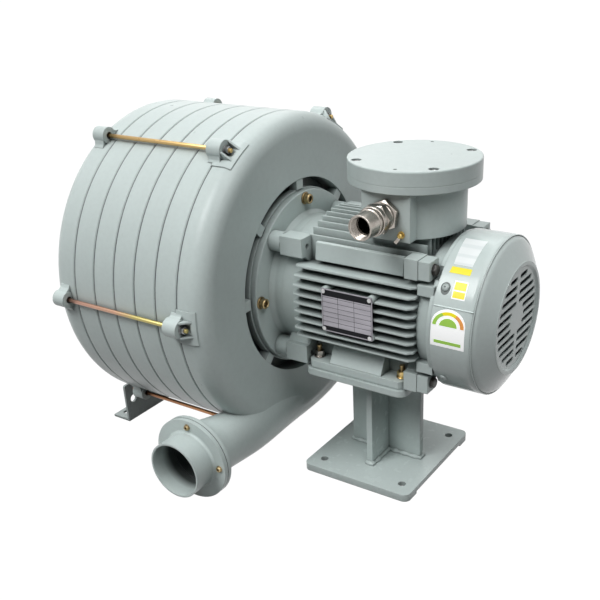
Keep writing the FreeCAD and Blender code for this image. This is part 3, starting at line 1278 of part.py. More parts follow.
def rod_span(angle):
    """First and last x of a tie rod."""
    outside = ROD_WASHER_THICKNESS + ROD_NUT_HEIGHT + ROD_END
    start = REAR_JOINT_X - REAR_EAR_SETBACK - REAR_EAR_LENGTH - outside
    if angle in SCROLL_ROD_ANGLES:
        return start, FRONT_JOINT_X - FRONT_EAR_OVERHANG + ROD_THREAD_DEPTH
    return start, FRONT_JOINT_X + FRONT_EAR_LAND + outside


def tie_rods():
    """The six rods that clamp the casing together."""
    rods = []
    for angle in circle_angles(ROD_COUNT):
        start, end = rod_span(angle)
        rods.append(rod(ROD_RADIUS, end - start, polar(start, ROD_CIRCLE_RADIUS, angle)))
    return Part.makeCompound(rods)


def tie_rod_nuts():
    """Nuts on washers behind the rear ears and in front of the free front ears."""
    nuts = []
    for angle in circle_angles(ROD_COUNT):
        seats = [(REAR_JOINT_X - REAR_EAR_SETBACK - REAR_EAR_LENGTH, -X_AXIS)]
        if angle not in SCROLL_ROD_ANGLES:
            seats.append((FRONT_JOINT_X + FRONT_EAR_LAND, X_AXIS))
        for x, way in seats:
            seat = polar(x, ROD_CIRCLE_RADIUS, angle)
            washer = rod(ROD_WASHER_RADIUS, ROD_WASHER_THICKNESS, seat, way)
            nut = hexagon(ROD_NUT_FLATS, ROD_NUT_HEIGHT, seat + way * ROD_WASHER_THICKNESS, way)
            bore = rod(ROD_RADIUS + SEAT_CLEARANCE, ROD_WASHER_THICKNESS + ROD_NUT_HEIGHT, seat, way)
            nuts.append(joined([washer, nut]).cut(bore))
    return Part.makeCompound(nuts)


def rear_bracket():
    """Bent sheet foot bolted to the rear cover."""
    back = REAR_FACE_X - BRACKET_SHEET
    half = BRACKET_HALF_WIDTH
    crest = BRACKET_CREST_HALF_WIDTH
    shoulder = crest + BRACKET_TAPER
    points = [(-half, 0), (half, 0), (half, BRACKET_HEIGHT, 4),
              (shoulder, BRACKET_HEIGHT, 12), (crest, BRACKET_CREST, 12),
              (-crest, BRACKET_CREST, 12), (-shoulder, BRACKET_HEIGHT, 12),
              (-half, BRACKET_HEIGHT, 4)]
    plate = cross_plate(points, back, BRACKET_SHEET)
    foot = block((REAR_FACE_X - BRACKET_FLANGE, -half, 0), (REAR_FACE_X, half, BRACKET_SHEET))
    cutters = []
    for side in (-1, 1):
        hole = Vector(REAR_FACE_X - BRACKET_HOLE_INSET, side * BRACKET_HOLE_Y, -1)
        cutters.append(rod(BRACKET_HOLE_RADIUS, 10, hole, Z_AXIS))
        side_hole = Vector(back - 2, side * BRACKET_HOLE_Y, BRACKET_SIDE_HOLE_Z)
        cutters.append(rod(BRACKET_SIDE_HOLE_RADIUS, 10, side_hole))
        bolt_hole = Vector(back - 2, side * BRACKET_BOLT_Y, BRACKET_BOLT_Z)
        cutters.append(rod(BRACKET_BOLT_RADIUS + SCREW_CLEARANCE, 10, bolt_hole))
    return joined([plate, foot]).cut(Part.makeCompound(cutters))


def rear_bracket_bolts():
    """Hex screws that hold the bracket to the rear cover."""
    screws = []
    for y in (-BRACKET_BOLT_Y, BRACKET_BOLT_Y):
        seat = Vector(REAR_FACE_X - BRACKET_SHEET, y, BRACKET_BOLT_Z)
        washer = rod(SCREW_WASHER_RADIUS, SCREW_WASHER, seat - X_AXIS * SCREW_WASHER)
        head = hexagon(SCREW_FLATS, SCREW_HEAD, seat - X_AXIS * (SCREW_WASHER + SCREW_HEAD))
        screws.append(joined([washer, head, rod(BRACKET_BOLT_RADIUS, BRACKET_SHEET + 14, seat)]))
    return Part.makeCompound(screws)


def shaft():
    """Stepped shaft with the rotor core's seat between two bearings."""
    drive = DRIVE_BEARING
    fan = FAN_BEARING
    drive_end = DRIVE_BEARING_X + drive["width"]
    fan_end = FAN_BEARING_X + fan["width"]
    nut_x = FIRST_WHEEL_X + 1 - WHEEL_HUB_LENGTH - SHAFT_NUT_LENGTH
    return turned_about_shaft([
        (nut_x - 4, 0),
        (nut_x - 4, SHAFT_WHEEL_RADIUS - 2),
        (nut_x + SHAFT_NUT_LENGTH, SHAFT_WHEEL_RADIUS - 2),
        (nut_x + SHAFT_NUT_LENGTH, SHAFT_WHEEL_RADIUS),
        (SHAFT_SHOULDER_X, SHAFT_WHEEL_RADIUS),
        (SHAFT_SHOULDER_X, drive["bore"]),
        (drive_end, drive["bore"]),
        (drive_end, SHAFT_CORE_RADIUS),
        (FAN_BEARING_X, SHAFT_CORE_RADIUS),
        (FAN_BEARING_X, fan["bore"]),
        (fan_end + 2, fan["bore"]),
        (fan_end + 2, FAN_SEAT_RADIUS),
        (fan_x() + FAN_BLADE_LENGTH, FAN_SEAT_RADIUS),
        (fan_x() + FAN_BLADE_LENGTH, 0)])


def shaft_nut():
    """Nut that clamps the wheels against the shaft's shoulder."""
    start = Vector(FIRST_WHEEL_X + 1 - WHEEL_HUB_LENGTH - SHAFT_NUT_LENGTH, 0, SHAFT_HEIGHT)
    flange = rod(NUT_FLANGE_RADIUS, NUT_FLANGE, start + X_AXIS * (SHAFT_NUT_LENGTH - NUT_FLANGE))
    nut = joined([hexagon(SHAFT_NUT_FLATS, SHAFT_NUT_LENGTH - NUT_FLANGE + 1, start), flange])
    return nut.cut(rod(SHAFT_WHEEL_RADIUS - 2 + SEAT_CLEARANCE, SHAFT_NUT_LENGTH, start))


def shaft_seal():
    """Seal ring in the pressure wall; the last sleeve turns in it."""
    return tube(SEAL_RADIUS, SPACER_RADIUS + RUNNING_CLEARANCE, SEAL_LENGTH - 2,
                Vector(PRESSURE_WALL_X + 2, 0, SHAFT_HEIGHT))


def bearing_places():
    """The two ball bearings and where each starts."""
    return ((DRIVE_BEARING, DRIVE_BEARING_X), (FAN_BEARING, FAN_BEARING_X))


def grooved_ring(outer, inner, bearing, start_x, clearance):
    """Bearing ring with its ball groove."""
    race = (bearing["bore"] + bearing["outer"]) / 2
    blank = tube(outer, inner, bearing["width"], Vector(start_x, 0, SHAFT_HEIGHT))
    centre = Vector(start_x + bearing["width"] / 2, 0, SHAFT_HEIGHT)
    return blank.cut(Part.makeTorus(race, bearing["ball"] + clearance, centre, X_AXIS))


def bearing_outer_rings():
    """Outer rings, seated in the end shields."""
    return Part.makeCompound([
        grooved_ring(bearing["outer"], bearing["outer"] - BEARING_RACE, bearing, x, 0)
        for bearing, x in bearing_places()])


def bearing_inner_rings():
    """Inner rings, seated on the shaft."""
    return Part.makeCompound([
        grooved_ring(bearing["bore"] + BEARING_RACE, bearing["bore"], bearing, x, RUNNING_CLEARANCE)
        for bearing, x in bearing_places()])


def bearing_balls():
    """Balls between the rings."""
    balls = []
    for bearing, x in bearing_places():
        race = (bearing["bore"] + bearing["outer"]) / 2
        middle = x + bearing["width"] / 2
        balls += [Part.makeSphere(bearing["ball"], polar(middle, race, angle))
                  for angle in circle_angles(BALL_COUNT)]
    return Part.makeCompound(balls)


def rotor_core():
    """Laminated core with the two end rings of its cage."""
    half = CORE_LENGTH / 2
    x = (FRAME_START_X + FRAME_END_X) / 2
    core = turned_about_shaft([
        (x - half - END_RING, SHAFT_CORE_RADIUS + RING_BORE),
        (x - half - END_RING, ROTOR_RADIUS - 3, 2),
        (x - half, ROTOR_RADIUS - 2),
        (x - half, ROTOR_RADIUS),
        (x + half, ROTOR_RADIUS),
        (x + half, ROTOR_RADIUS - 2),
        (x + half + END_RING, ROTOR_RADIUS - 3, 2),
        (x + half + END_RING, SHAFT_CORE_RADIUS + RING_BORE),
        (x + half, SHAFT_CORE_RADIUS + RING_BORE),
        (x + half, SHAFT_CORE_RADIUS + SEAT_CLEARANCE / 2),
        (x - half, SHAFT_CORE_RADIUS + SEAT_CLEARANCE / 2),
        (x - half, SHAFT_CORE_RADIUS + RING_BORE)])
    return core


def stator_core():
    """Laminated stator pressed into the frame."""
    x = (FRAME_START_X + FRAME_END_X) / 2
    start = Vector(x - CORE_LENGTH / 2, 0, SHAFT_HEIGHT)
    return tube(FRAME_BORE - SEAT_CLEARANCE, STATOR_BORE, CORE_LENGTH, start)


def stator_windings():
    """Bundled end turns on both sides of the stator."""
    x = (FRAME_START_X + FRAME_END_X) / 2
    half = CORE_LENGTH / 2
    bundles = []
    for side in (-1, 1):
        bundles.append(turned_about_shaft([
            (x + side * half, STATOR_BORE + 5),
            (x + side * half, FRAME_BORE - 6),
            (x + side * (half + WINDING_LENGTH), FRAME_BORE - 9, 6),
            (x + side * (half + WINDING_LENGTH), STATOR_BORE + 4, 6)]))
    return Part.makeCompound(bundles)


def fan_x():
    """Start of the cooling fan's hub."""
    return FAN_SHIELD_END_X + FAN_SETBACK


def cooling_fan():
    """Radial fan on the shaft's free end."""
    start = fan_x()
    hub = rod(FAN_HUB_RADIUS, FAN_BLADE_LENGTH, Vector(start, 0, SHAFT_HEIGHT))
    disc = rod(FAN_DISC_RADIUS, FAN_SHEET, Vector(start, 0, SHAFT_HEIGHT))
    blades = []
    for angle in circle_angles(FAN_BLADE_COUNT):
        points = [(start, FAN_HUB_RADIUS - 4),
                  (start, FAN_RADIUS),
                  (start + FAN_BLADE_LENGTH * 0.75, FAN_RADIUS),
                  (start + FAN_BLADE_LENGTH, FAN_RADIUS - FAN_TAPER),
                  (start + FAN_BLADE_LENGTH, FAN_HUB_RADIUS - 4)]
        blades.append(about_shaft(flat_plate(points, SHAFT_HEIGHT - FAN_SHEET / 2, FAN_SHEET), angle))
    fan = joined([hub, disc] + blades)
    return fan.cut(rod(FAN_SEAT_RADIUS, FAN_BLADE_LENGTH + 2, Vector(start - 1, 0, SHAFT_HEIGHT)))


def cover_section(inset):
    """Half section of the fan cover, inset by a sheet thickness for the inside."""
    shoulder_x = COVER_START_X + COVER_SHOULDER
    return [
        (COVER_START_X - (1 if inset else 0), 0),
        (COVER_START_X - (1 if inset else 0), COVER_RADIUS - inset),
        (shoulder_x, COVER_RADIUS - inset, 16 - inset),
        (COVER_END_X - inset, COVER_FACE_RADIUS - inset * 0.6, 5),
        (COVER_END_X - inset, COVER_FACE_RADIUS - 4),
        (COVER_END_X - COVER_DISH - inset, COVER_FACE_RADIUS - 7),
        (COVER_END_X - COVER_DISH - inset, 0)]


def cooling_slots():
    """Cutters of the air slots: rows of level slots on both sides of a middle bar."""
    slots = []
    depth = COVER_SHEET + 6
    x = COVER_END_X - COVER_DISH - COVER_SHEET - 3
    half = SLOT_HEIGHT / 2
    for row in range(SLOT_ROWS):
        rise = SLOT_PITCH * (row - (SLOT_ROWS - 1) / 2)
        far = math.sqrt(SLOT_CIRCLE ** 2 - rise ** 2)
        near = SLOT_BAR / 2
        if abs(rise) < SLOT_CENTRE_RADIUS:
            near = math.sqrt(SLOT_CENTRE_RADIUS ** 2 - rise ** 2) + 2
        z = SHAFT_HEIGHT + rise
        for side in (-1, 1):
            first = near + half
            last = max(far - half, first + 2)
            low = min(side * first, side * last)
            high = max(side * first, side * last)
            slots.append(joined([block((x, low, z - half), (x + depth, high, z + half)),
                                 rod(half, depth, Vector(x, low, z)),
                                 rod(half, depth, Vector(x, high, z))]))
    return Part.makeCompound(slots)


def fan_cover():
    """Pressed cover with a coned shoulder and a dished, slotted face."""
    shell = turned_about_shaft(cover_section(0)).cut(turned_about_shaft(cover_section(COVER_SHEET)))
    holes = [cover_screw_bore(COVER_SCREW_RADIUS + SCREW_CLEARANCE, angle)
             for angle in cover_screw_angles()]
    return shell.cut(cooling_slots()).cut(Part.makeCompound(holes))


def fan_cover_screws():
    """Round-head screws that hold the cover to the shield's rim."""
    screws = []
    for angle in cover_screw_angles():
        head = radial_rod(COVER_SCREW_RADIUS * 2, COVER_RADIUS, COVER_RADIUS + 3, cover_screw_x(), angle)
        screws.append(joined([cover_screw_bore(COVER_SCREW_RADIUS, angle), head]))
    return Part.makeCompound(screws)


def terminal_box():
    """Round cast box with the flat gland pad and its rim."""
    centre = Vector(BOX_X, 0, BOX_BOTTOM_Z)
    body = rod(BOX_RADIUS, BOX_HEIGHT + BOX_RIM, centre, Z_AXIS)
    rim = rod(BOX_COVER_RADIUS, BOX_RIM, centre + Z_AXIS * BOX_HEIGHT, Z_AXIS)
    half = GLAND_PAD_WIDTH / 2
    pad = block((BOX_X - half, -GLAND_PAD_Y, BOX_BOTTOM_Z), (BOX_X + half, -40, BOX_BOTTOM_Z + BOX_HEIGHT))
    inside = rod(BOX_RADIUS - BOX_WALL, BOX_HEIGHT + BOX_RIM, centre + Z_AXIS * BOX_WALL, Z_AXIS)
    cutters = [inside,
               rod(BOX_FLOOR_HOLE, 20, centre - Z_AXIS * 5, Z_AXIS),
               rod(GLAND_HOLE_RADIUS, 60, gland_centre(-GLAND_PAD_Y - 5), Y_AXIS)]
    for x, y in cover_screw_places():
        hole = Vector(x, y, BOX_TOP_Z - BOX_RIM - 1)
        cutters.append(rod(BOX_SCREW_RADIUS + SEAT_CLEARANCE, BOX_RIM + 2, hole, Z_AXIS))
    return joined([body, rim, pad]).cut(Part.makeCompound(cutters))


def gland_centre(y):
    """Point on the gland's axis."""
    return Vector(BOX_X, y, BOX_BOTTOM_Z + GLAND_RISE)


def cover_screw_places():
    """The (x, y) places of the terminal cover's screws."""
    places = []
    for angle in circle_angles(4, 45):
        turn = math.radians(angle)
        places.append((BOX_X + BOX_SCREW_CIRCLE * math.cos(turn), BOX_SCREW_CIRCLE * math.sin(turn)))
    return places


def terminal_box_cover():
    """Thick round cover with four counterbored screw holes."""
    centre = Vector(BOX_X, 0, BOX_TOP_Z)
    section = [(0, BOX_TOP_Z), (BOX_COVER_RADIUS, BOX_TOP_Z),
               (BOX_COVER_RADIUS, BOX_TOP_Z + BOX_COVER_THICKNESS, 2), (0, BOX_TOP_Z + BOX_COVER_THICKNESS)]
    face = outline(section, lambda p: Vector(BOX_X + p.x, 0, p.y))
    cover = face.revolve(centre, Z_AXIS, 360)
    cutters = []
    top = BOX_TOP_Z + BOX_COVER_THICKNESS
    for x, y in cover_screw_places():
        cutters.append(rod(BOX_SCREW_RADIUS + SCREW_CLEARANCE, 30, Vector(x, y, BOX_TOP_Z - 1), Z_AXIS))
        recess = Vector(x, y, top - BOX_SCREW_RECESS)
        cutters.append(rod(BOX_SCREW_HEAD + SCREW_CLEARANCE, BOX_SCREW_RECESS + 1, recess, Z_AXIS))
    for angle in PIN_HOLE_ANGLES:
        turn = math.radians(angle)
        reach = BOX_SCREW_CIRCLE
        place = Vector(BOX_X + reach * math.cos(turn), reach * math.sin(turn), top - 12)
        cutters.append(rod(PIN_HOLE_RADIUS, 14, place, Z_AXIS))
    return cover.cut(Part.makeCompound(cutters))


def terminal_cover_screws():
    """Socket screws sunk in the cover's counterbores."""
    screws = []
    seat = BOX_TOP_Z + BOX_COVER_THICKNESS - BOX_SCREW_RECESS
    for x, y in cover_screw_places():
        head = rod(BOX_SCREW_HEAD, BOX_SCREW_HEAD_HEIGHT, Vector(x, y, seat), Z_AXIS)
        socket = hexagon(6, 5, Vector(x, y, seat + BOX_SCREW_HEAD_HEIGHT - 4), Z_AXIS)
        shank = rod(BOX_SCREW_RADIUS, 20, Vector(x, y, seat - 19.5), Z_AXIS)
        screws.append(joined([head, shank]).cut(socket))
    return Part.makeCompound(screws)


def terminal_block():
    """Insulating block with six terminal studs on the floor of the box."""
    floor = BOX_BOTTOM_Z + BOX_WALL
    half = BLOCK_LENGTH / 2
    body = block((BOX_X - half, BLOCK_Y, floor), (BOX_X + half, BLOCK_Y + BLOCK_WIDTH, floor + BLOCK_HEIGHT))
    seat = floor + BLOCK_HEIGHT - 1
    studs = [rod(STUD_RADIUS, STUD_LENGTH, Vector(BOX_X + STUD_PITCH * i, y, seat), Z_AXIS)
             for i in (-1, 0, 1) for y in (BLOCK_Y + 8, BLOCK_Y + BLOCK_WIDTH - 8)]
    return joined([body] + studs)


def gland_locknut():
    """Hexagonal locknut against the box's pad."""
    start = gland_centre(-GLAND_PAD_Y)
    nut = hexagon(GLAND_LOCKNUT_FLATS, 9, start, -Y_AXIS)
    return nut.cut(rod(GLAND_HOLE_RADIUS, 9, start, -Y_AXIS))


def gland_thread_y():
    """Where the gland body's thread leaves its hexagon."""
    return -GLAND_PAD_Y - GLAND_COLLAR_START - GLAND_COLLAR - GLAND_HEX_LENGTH + 1


def gland_body():
    """Threaded gland body through the pad, with its collar and hexagon."""
    start = gland_centre(-GLAND_PAD_Y + GLAND_INSIDE)
    outer = GLAND_HOLE_RADIUS - SEAT_CLEARANCE
    collar_y = -GLAND_PAD_Y - GLAND_COLLAR_START
    hex_y = collar_y - GLAND_COLLAR
    thread_y = gland_thread_y()
    neck = rod(outer, GLAND_INSIDE + GLAND_HEX_LENGTH, start, -Y_AXIS)
    collar = rod(GLAND_HEX_FLATS / 2 + 0.5, GLAND_COLLAR, gland_centre(collar_y), -Y_AXIS)
    hexed = hexagon(GLAND_HEX_FLATS, GLAND_HEX_LENGTH, gland_centre(hex_y), -Y_AXIS)
    thread = rod(GLAND_THREAD_RADIUS, GLAND_THREAD_LENGTH, gland_centre(thread_y), -Y_AXIS)
    body = joined([neck, collar, hexed, thread])
    return body.cut(rod(GLAND_BORE - 1.5, 90, gland_centre(-GLAND_PAD_Y + 20), -Y_AXIS))


def gland_cap():
    """Smooth outer cap of the gland with the open mouth."""
    thread_end = gland_thread_y() - GLAND_THREAD_LENGTH
    start = gland_thread_y() - 2
    end = -GLAND_PAD_Y - GLAND_LENGTH
    inner = GLAND_THREAD_RADIUS + SEAT_CLEARANCE
    section = [(start, inner), (start, GLAND_CAP_RADIUS), (start - 8, GLAND_CAP_RADIUS),
               (start - 10, GLAND_CAP_NECK), (start - 14, GLAND_CAP_NECK),
               (start - 16, GLAND_MOUTH_RADIUS + 0.6), (end, GLAND_MOUTH_RADIUS, 1), (end, GLAND_BORE),
               (thread_end - 0.2, GLAND_BORE), (thread_end - 0.2, inner)]
    face = outline(section, lambda p: gland_centre(p.x) + Z_AXIS * p.y)
    return face.revolve(gland_centre(0), Y_AXIS, 360)


def earth_screw():
    """Earth screw with its clamp washer on the pad's lower corner."""
    seat = Vector(BOX_X + 24, -GLAND_PAD_Y, BOX_BOTTOM_Z + 10)
    washer = rod(EARTH_WASHER_RADIUS, EARTH_WASHER, seat, -Y_AXIS)
    head = hexagon(EARTH_FLATS, EARTH_HEAD, seat - Y_AXIS * EARTH_WASHER, -Y_AXIS)
    return joined([washer, head])


def nameplate():
    """Bare plate on the four posts."""
    y = -(SIDE_FIN_REACH + PLATE_STANDOFF)
    centre_z = SHAFT_HEIGHT + PLATE_CENTRE_RISE
    half_x = PLATE_LENGTH / 2
    half_z = PLATE_HEIGHT / 2
    points = [(PLATE_CENTRE_X + sx * half_x, centre_z + sz * half_z, 2)
              for sx, sz in ((-1, -1), (1, -1), (1, 1), (-1, 1))]
    face = outline(points, lambda p: Vector(p.x, y, p.y))
    return face.extrude(-Y_AXIS * PLATE_THICKNESS)


def nameplate_screws():
    """Drive screws at the plate's corners."""
    y = -(SIDE_FIN_REACH + PLATE_STANDOFF + PLATE_THICKNESS)
    heads = [rod(PLATE_SCREW_RADIUS, PLATE_SCREW_HEAD, Vector(x, y, z), -Y_AXIS)
             for x, z in nameplate_corners()]
    return Part.makeCompound(heads)


def export(name, shape):
    """Writes one node."""
    shape.exportStep(os.path.join("parts", name + ".step"))


def main():
    """Builds and writes every node."""
    os.makedirs("parts", exist_ok=True)
    for maker in (pedestal_base_plate, pedestal_base_strips, pedestal_column, pedestal_top_plate,
                  foot_bolts, foot_washers, foot_nuts, motor_frame, drive_end_shield, drive_shield_screws,
                  fan_end_shield, fan_shield_screws, flange_bolts, front_cover, rear_cover,
                  discharge_spigot, discharge_gasket, discharge_bolts, inlet_spigot, inlet_guard,
                  inlet_bolts, tie_rods, tie_rod_nuts, rear_bracket, rear_bracket_bolts, shaft, shaft_nut,
                  wheel_spacers, shaft_seal, bearing_outer_rings, bearing_inner_rings, bearing_balls,
                  rotor_core, stator_core, stator_windings, cooling_fan,
                  fan_cover, fan_cover_screws, terminal_box, terminal_box_cover, terminal_cover_screws,
                  terminal_block, gland_locknut, gland_body, gland_cap, earth_screw, nameplate,
                  nameplate_screws):
        export(maker.__name__, maker())
    for i in range(RING_COUNT):
        export("stage_ring_%d" % (i + 1), stage_ring(i))
    wheel = impeller()
    for i in range(RING_COUNT + 1):
        export("impeller_%d" % (i + 1), wheel.translated(X_AXIS * (STAGE_PITCH * i)))


main()
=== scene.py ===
import json
import math
import random
import bpy
import bmesh
from mathutils import Matrix, Vector


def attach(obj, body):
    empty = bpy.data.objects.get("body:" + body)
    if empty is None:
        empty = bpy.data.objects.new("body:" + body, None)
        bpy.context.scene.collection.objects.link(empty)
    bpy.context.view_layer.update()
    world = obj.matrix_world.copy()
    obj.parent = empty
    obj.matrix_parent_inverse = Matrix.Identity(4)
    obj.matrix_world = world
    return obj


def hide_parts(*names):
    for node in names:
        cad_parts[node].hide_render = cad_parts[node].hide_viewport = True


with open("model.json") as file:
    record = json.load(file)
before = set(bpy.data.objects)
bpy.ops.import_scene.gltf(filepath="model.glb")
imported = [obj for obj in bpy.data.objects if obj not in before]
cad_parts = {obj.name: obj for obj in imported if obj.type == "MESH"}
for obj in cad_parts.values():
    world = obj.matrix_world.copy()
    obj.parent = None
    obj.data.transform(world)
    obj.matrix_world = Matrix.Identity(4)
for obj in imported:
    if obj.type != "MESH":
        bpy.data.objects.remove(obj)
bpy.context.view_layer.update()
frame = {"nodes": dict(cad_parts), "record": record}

# Places, sizes and directions of the solids that the dressing follows, in millimetres
MM = 0.001
SHAFT_Z = 283.0
DRUM_RADIUS = 246.0
FIRST_JOINT_X = -192.0
STAGE_PITCH = 40.0
JOINT_COUNT = 6
DISCHARGE_X = -188.0
DISCHARGE_Z = 73.0
BOX_X = 44.5
COVER_RADIUS = 112.5
TO_FAN = Vector((1, 0, 0))
TO_MOUTH = Vector((0, -1, 0))
UP = Vector((0, 0, 1))

# Camera as solved from the photo, with half its downward shift: angles, metres and pixels
IMAGE = 600.0
AZIMUTH = math.radians(33.5496)
ELEVATION = math.radians(26.6327)
ROLL = math.radians(-2.0662)
DISTANCE = 1.3890665
AIM = Vector((-0.0971349, 0.0, 0.1456821))
FOCAL = 862.6029
CENTRE = (334.763, 360.0)
SENSOR = 36.0
CLIP_START = 0.05

# Light and floor, whose lengths are in metres
WHITE = (1.0, 1.0, 1.0)
SKY = (0.96, 0.98, 1.0)
SKY_STRENGTH = 0.02
FLOOR_GREY = (0.12, 0.12, 0.12)
FLOOR_GLOW = 1.2
FLOOR_GLOW_SHARE = 0.85
FLOOR_HALF = 40.0
FLOOR_LEVEL = -0.0004
# Name, height and side in degrees, strength, and spread in degrees
LAMPS = [("Key", 50, 247.5, 1.95, 30), ("Right", 50, 337.5, 0.92, 34), ("Top", 80, 0, 0.6, 40),
         ("Glint", 56, 153, 0.3, 10), ("Left", 50, 202.5, 0.18, 34), ("Back", 50, 112.5, 0.42, 34),
         ("Rim", 20, 135, 0.12, 34)]


def make_camera():
    """Camera that looks at AIM from DISTANCE, turned and rolled as the photo's was."""
    forward = Vector((-math.sin(AZIMUTH) * math.cos(ELEVATION),
                      math.cos(AZIMUTH) * math.cos(ELEVATION), -math.sin(ELEVATION)))
    right = Vector((math.cos(AZIMUTH), math.sin(AZIMUTH), 0.0))
    up = right.cross(forward)
    side = right * math.cos(ROLL) + up * math.sin(ROLL)
    top = -right * math.sin(ROLL) + up * math.cos(ROLL)
    data = bpy.data.cameras.new("Camera")
    data.sensor_width = SENSOR
    data.lens = SENSOR * FOCAL / IMAGE
    data.shift_x = (IMAGE / 2 - CENTRE[0]) / IMAGE
    data.shift_y = (CENTRE[1] - IMAGE / 2) / IMAGE
    data.clip_start = CLIP_START
    camera = bpy.data.objects.new("Camera", data)
    bpy.context.scene.collection.objects.link(camera)
    place = Matrix((side, top, -forward)).transposed().to_4x4()
    place.translation = AIM - forward * DISTANCE
    camera.matrix_world = place
    bpy.context.scene.camera = camera


def sun(name, elevation, azimuth, strength, spread):
    """Soft sun that shines from that height and side, azimuth 0 being +X and 270 the discharge's side."""
    rise, side = math.radians(elevation), math.radians(azimuth)
    towards = (-math.cos(rise) * math.cos(side), -math.cos(rise) * math.sin(side), -math.sin(rise))
    data = bpy.data.lights.new(name, "SUN")
    data.energy = strength
    data.angle = math.radians(spread)
    lamp = bpy.data.objects.new(name, data)
    lamp.rotation_mode = "QUATERNION"
    lamp.rotation_quaternion = Vector(towards).to_track_quat("-Z", "Y")
    bpy.context.scene.collection.objects.link(lamp)


def emptied(owner):
    """Node tree of a world or material, switched on and cleared."""
    owner.use_nodes = True
    owner.node_tree.nodes.clear()
    return owner.node_tree


def plain_shader(tree, kind, color, strength=None):
    """Shader node of one colour."""
    node = tree.nodes.new(kind)
    node.inputs["Color"].default_value = (*color, 1)
    if strength is not None:
        node.inputs["Strength"].default_value = strength
    return node


def seen_directly(tree):
    """1 for what the camera sees, in a reflection or through glass too, and 0 for light on the object."""
    path = tree.nodes.new("ShaderNodeLightPath")
    seen = path.outputs["Is Camera Ray"]
    for ray in ("Is Glossy Ray", "Is Transmission Ray"):
        either = tree.nodes.new("ShaderNodeMath")
        either.operation = "MAXIMUM"
        tree.links.new(seen, either.inputs[0])
        tree.links.new(path.outputs[ray], either.inputs[1])
        seen = either.outputs[0]
    return seen


def mix_to_output(tree, kind, share, first, second):
    """Lead two shaders to the tree's output, mixed by the share of the second."""
    mix = tree.nodes.new("ShaderNodeMixShader")
    tree.links.new(share, mix.inputs[0])
    tree.links.new(first.outputs[0], mix.inputs[1])
    tree.links.new(second.outputs[0], mix.inputs[2])
    tree.links.new(mix.outputs[0], tree.nodes.new(kind).inputs["Surface"])


def make_world():
    """World that looks white and lights the object with a faint sky."""
    world = bpy.data.worlds.new("Studio")
    bpy.context.scene.world = world
    tree = emptied(world)
    sky = plain_shader(tree, "ShaderNodeBackground", SKY, SKY_STRENGTH)
    white = plain_shader(tree, "ShaderNodeBackground", WHITE)
    mix_to_output(tree, "ShaderNodeOutputWorld", seen_directly(tree), sky, white)


def make_floor():
    """Plain floor that looks nearly white and sends little light back to the object."""
    mesh = bpy.data.meshes.new("Floor")
    corners = ((-1, -1), (1, -1), (1, 1), (-1, 1))
    mesh.from_pydata([(x * FLOOR_HALF, y * FLOOR_HALF, FLOOR_LEVEL) for x, y in corners], [], [(0, 1, 2, 3)])
    floor = bpy.data.objects.new("Floor", mesh)
    bpy.context.scene.collection.objects.link(floor)
    material = bpy.data.materials.new("Floor")
    tree = emptied(material)
    matte = plain_shader(tree, "ShaderNodeBsdfDiffuse", FLOOR_GREY)
    glow = plain_shader(tree, "ShaderNodeEmission", WHITE, FLOOR_GLOW)
    share = tree.nodes.new("ShaderNodeMath")
    share.operation = "MULTIPLY"
    share.inputs[1].default_value = FLOOR_GLOW_SHARE
    tree.links.new(seen_directly(tree), share.inputs[0])
    mix_to_output(tree, "ShaderNodeOutputMaterial", share.outputs[0], matte, glow)
    mesh.materials.append(material)


# Materials: a look's coordinates, relief and reach are in metres
PAINT = (0.565, 0.645, 0.63)
GOLD = (0.72, 0.54, 0.22)
PAINT_EDGE = 0.0016
# Reaches of the painted shade that darkens paint in recesses and in tight corners
SHADE_REACH = 0.028
CORNER_REACH = 0.005
CREVICE_SAMPLES = 6
EDGE_SAMPLES = 4


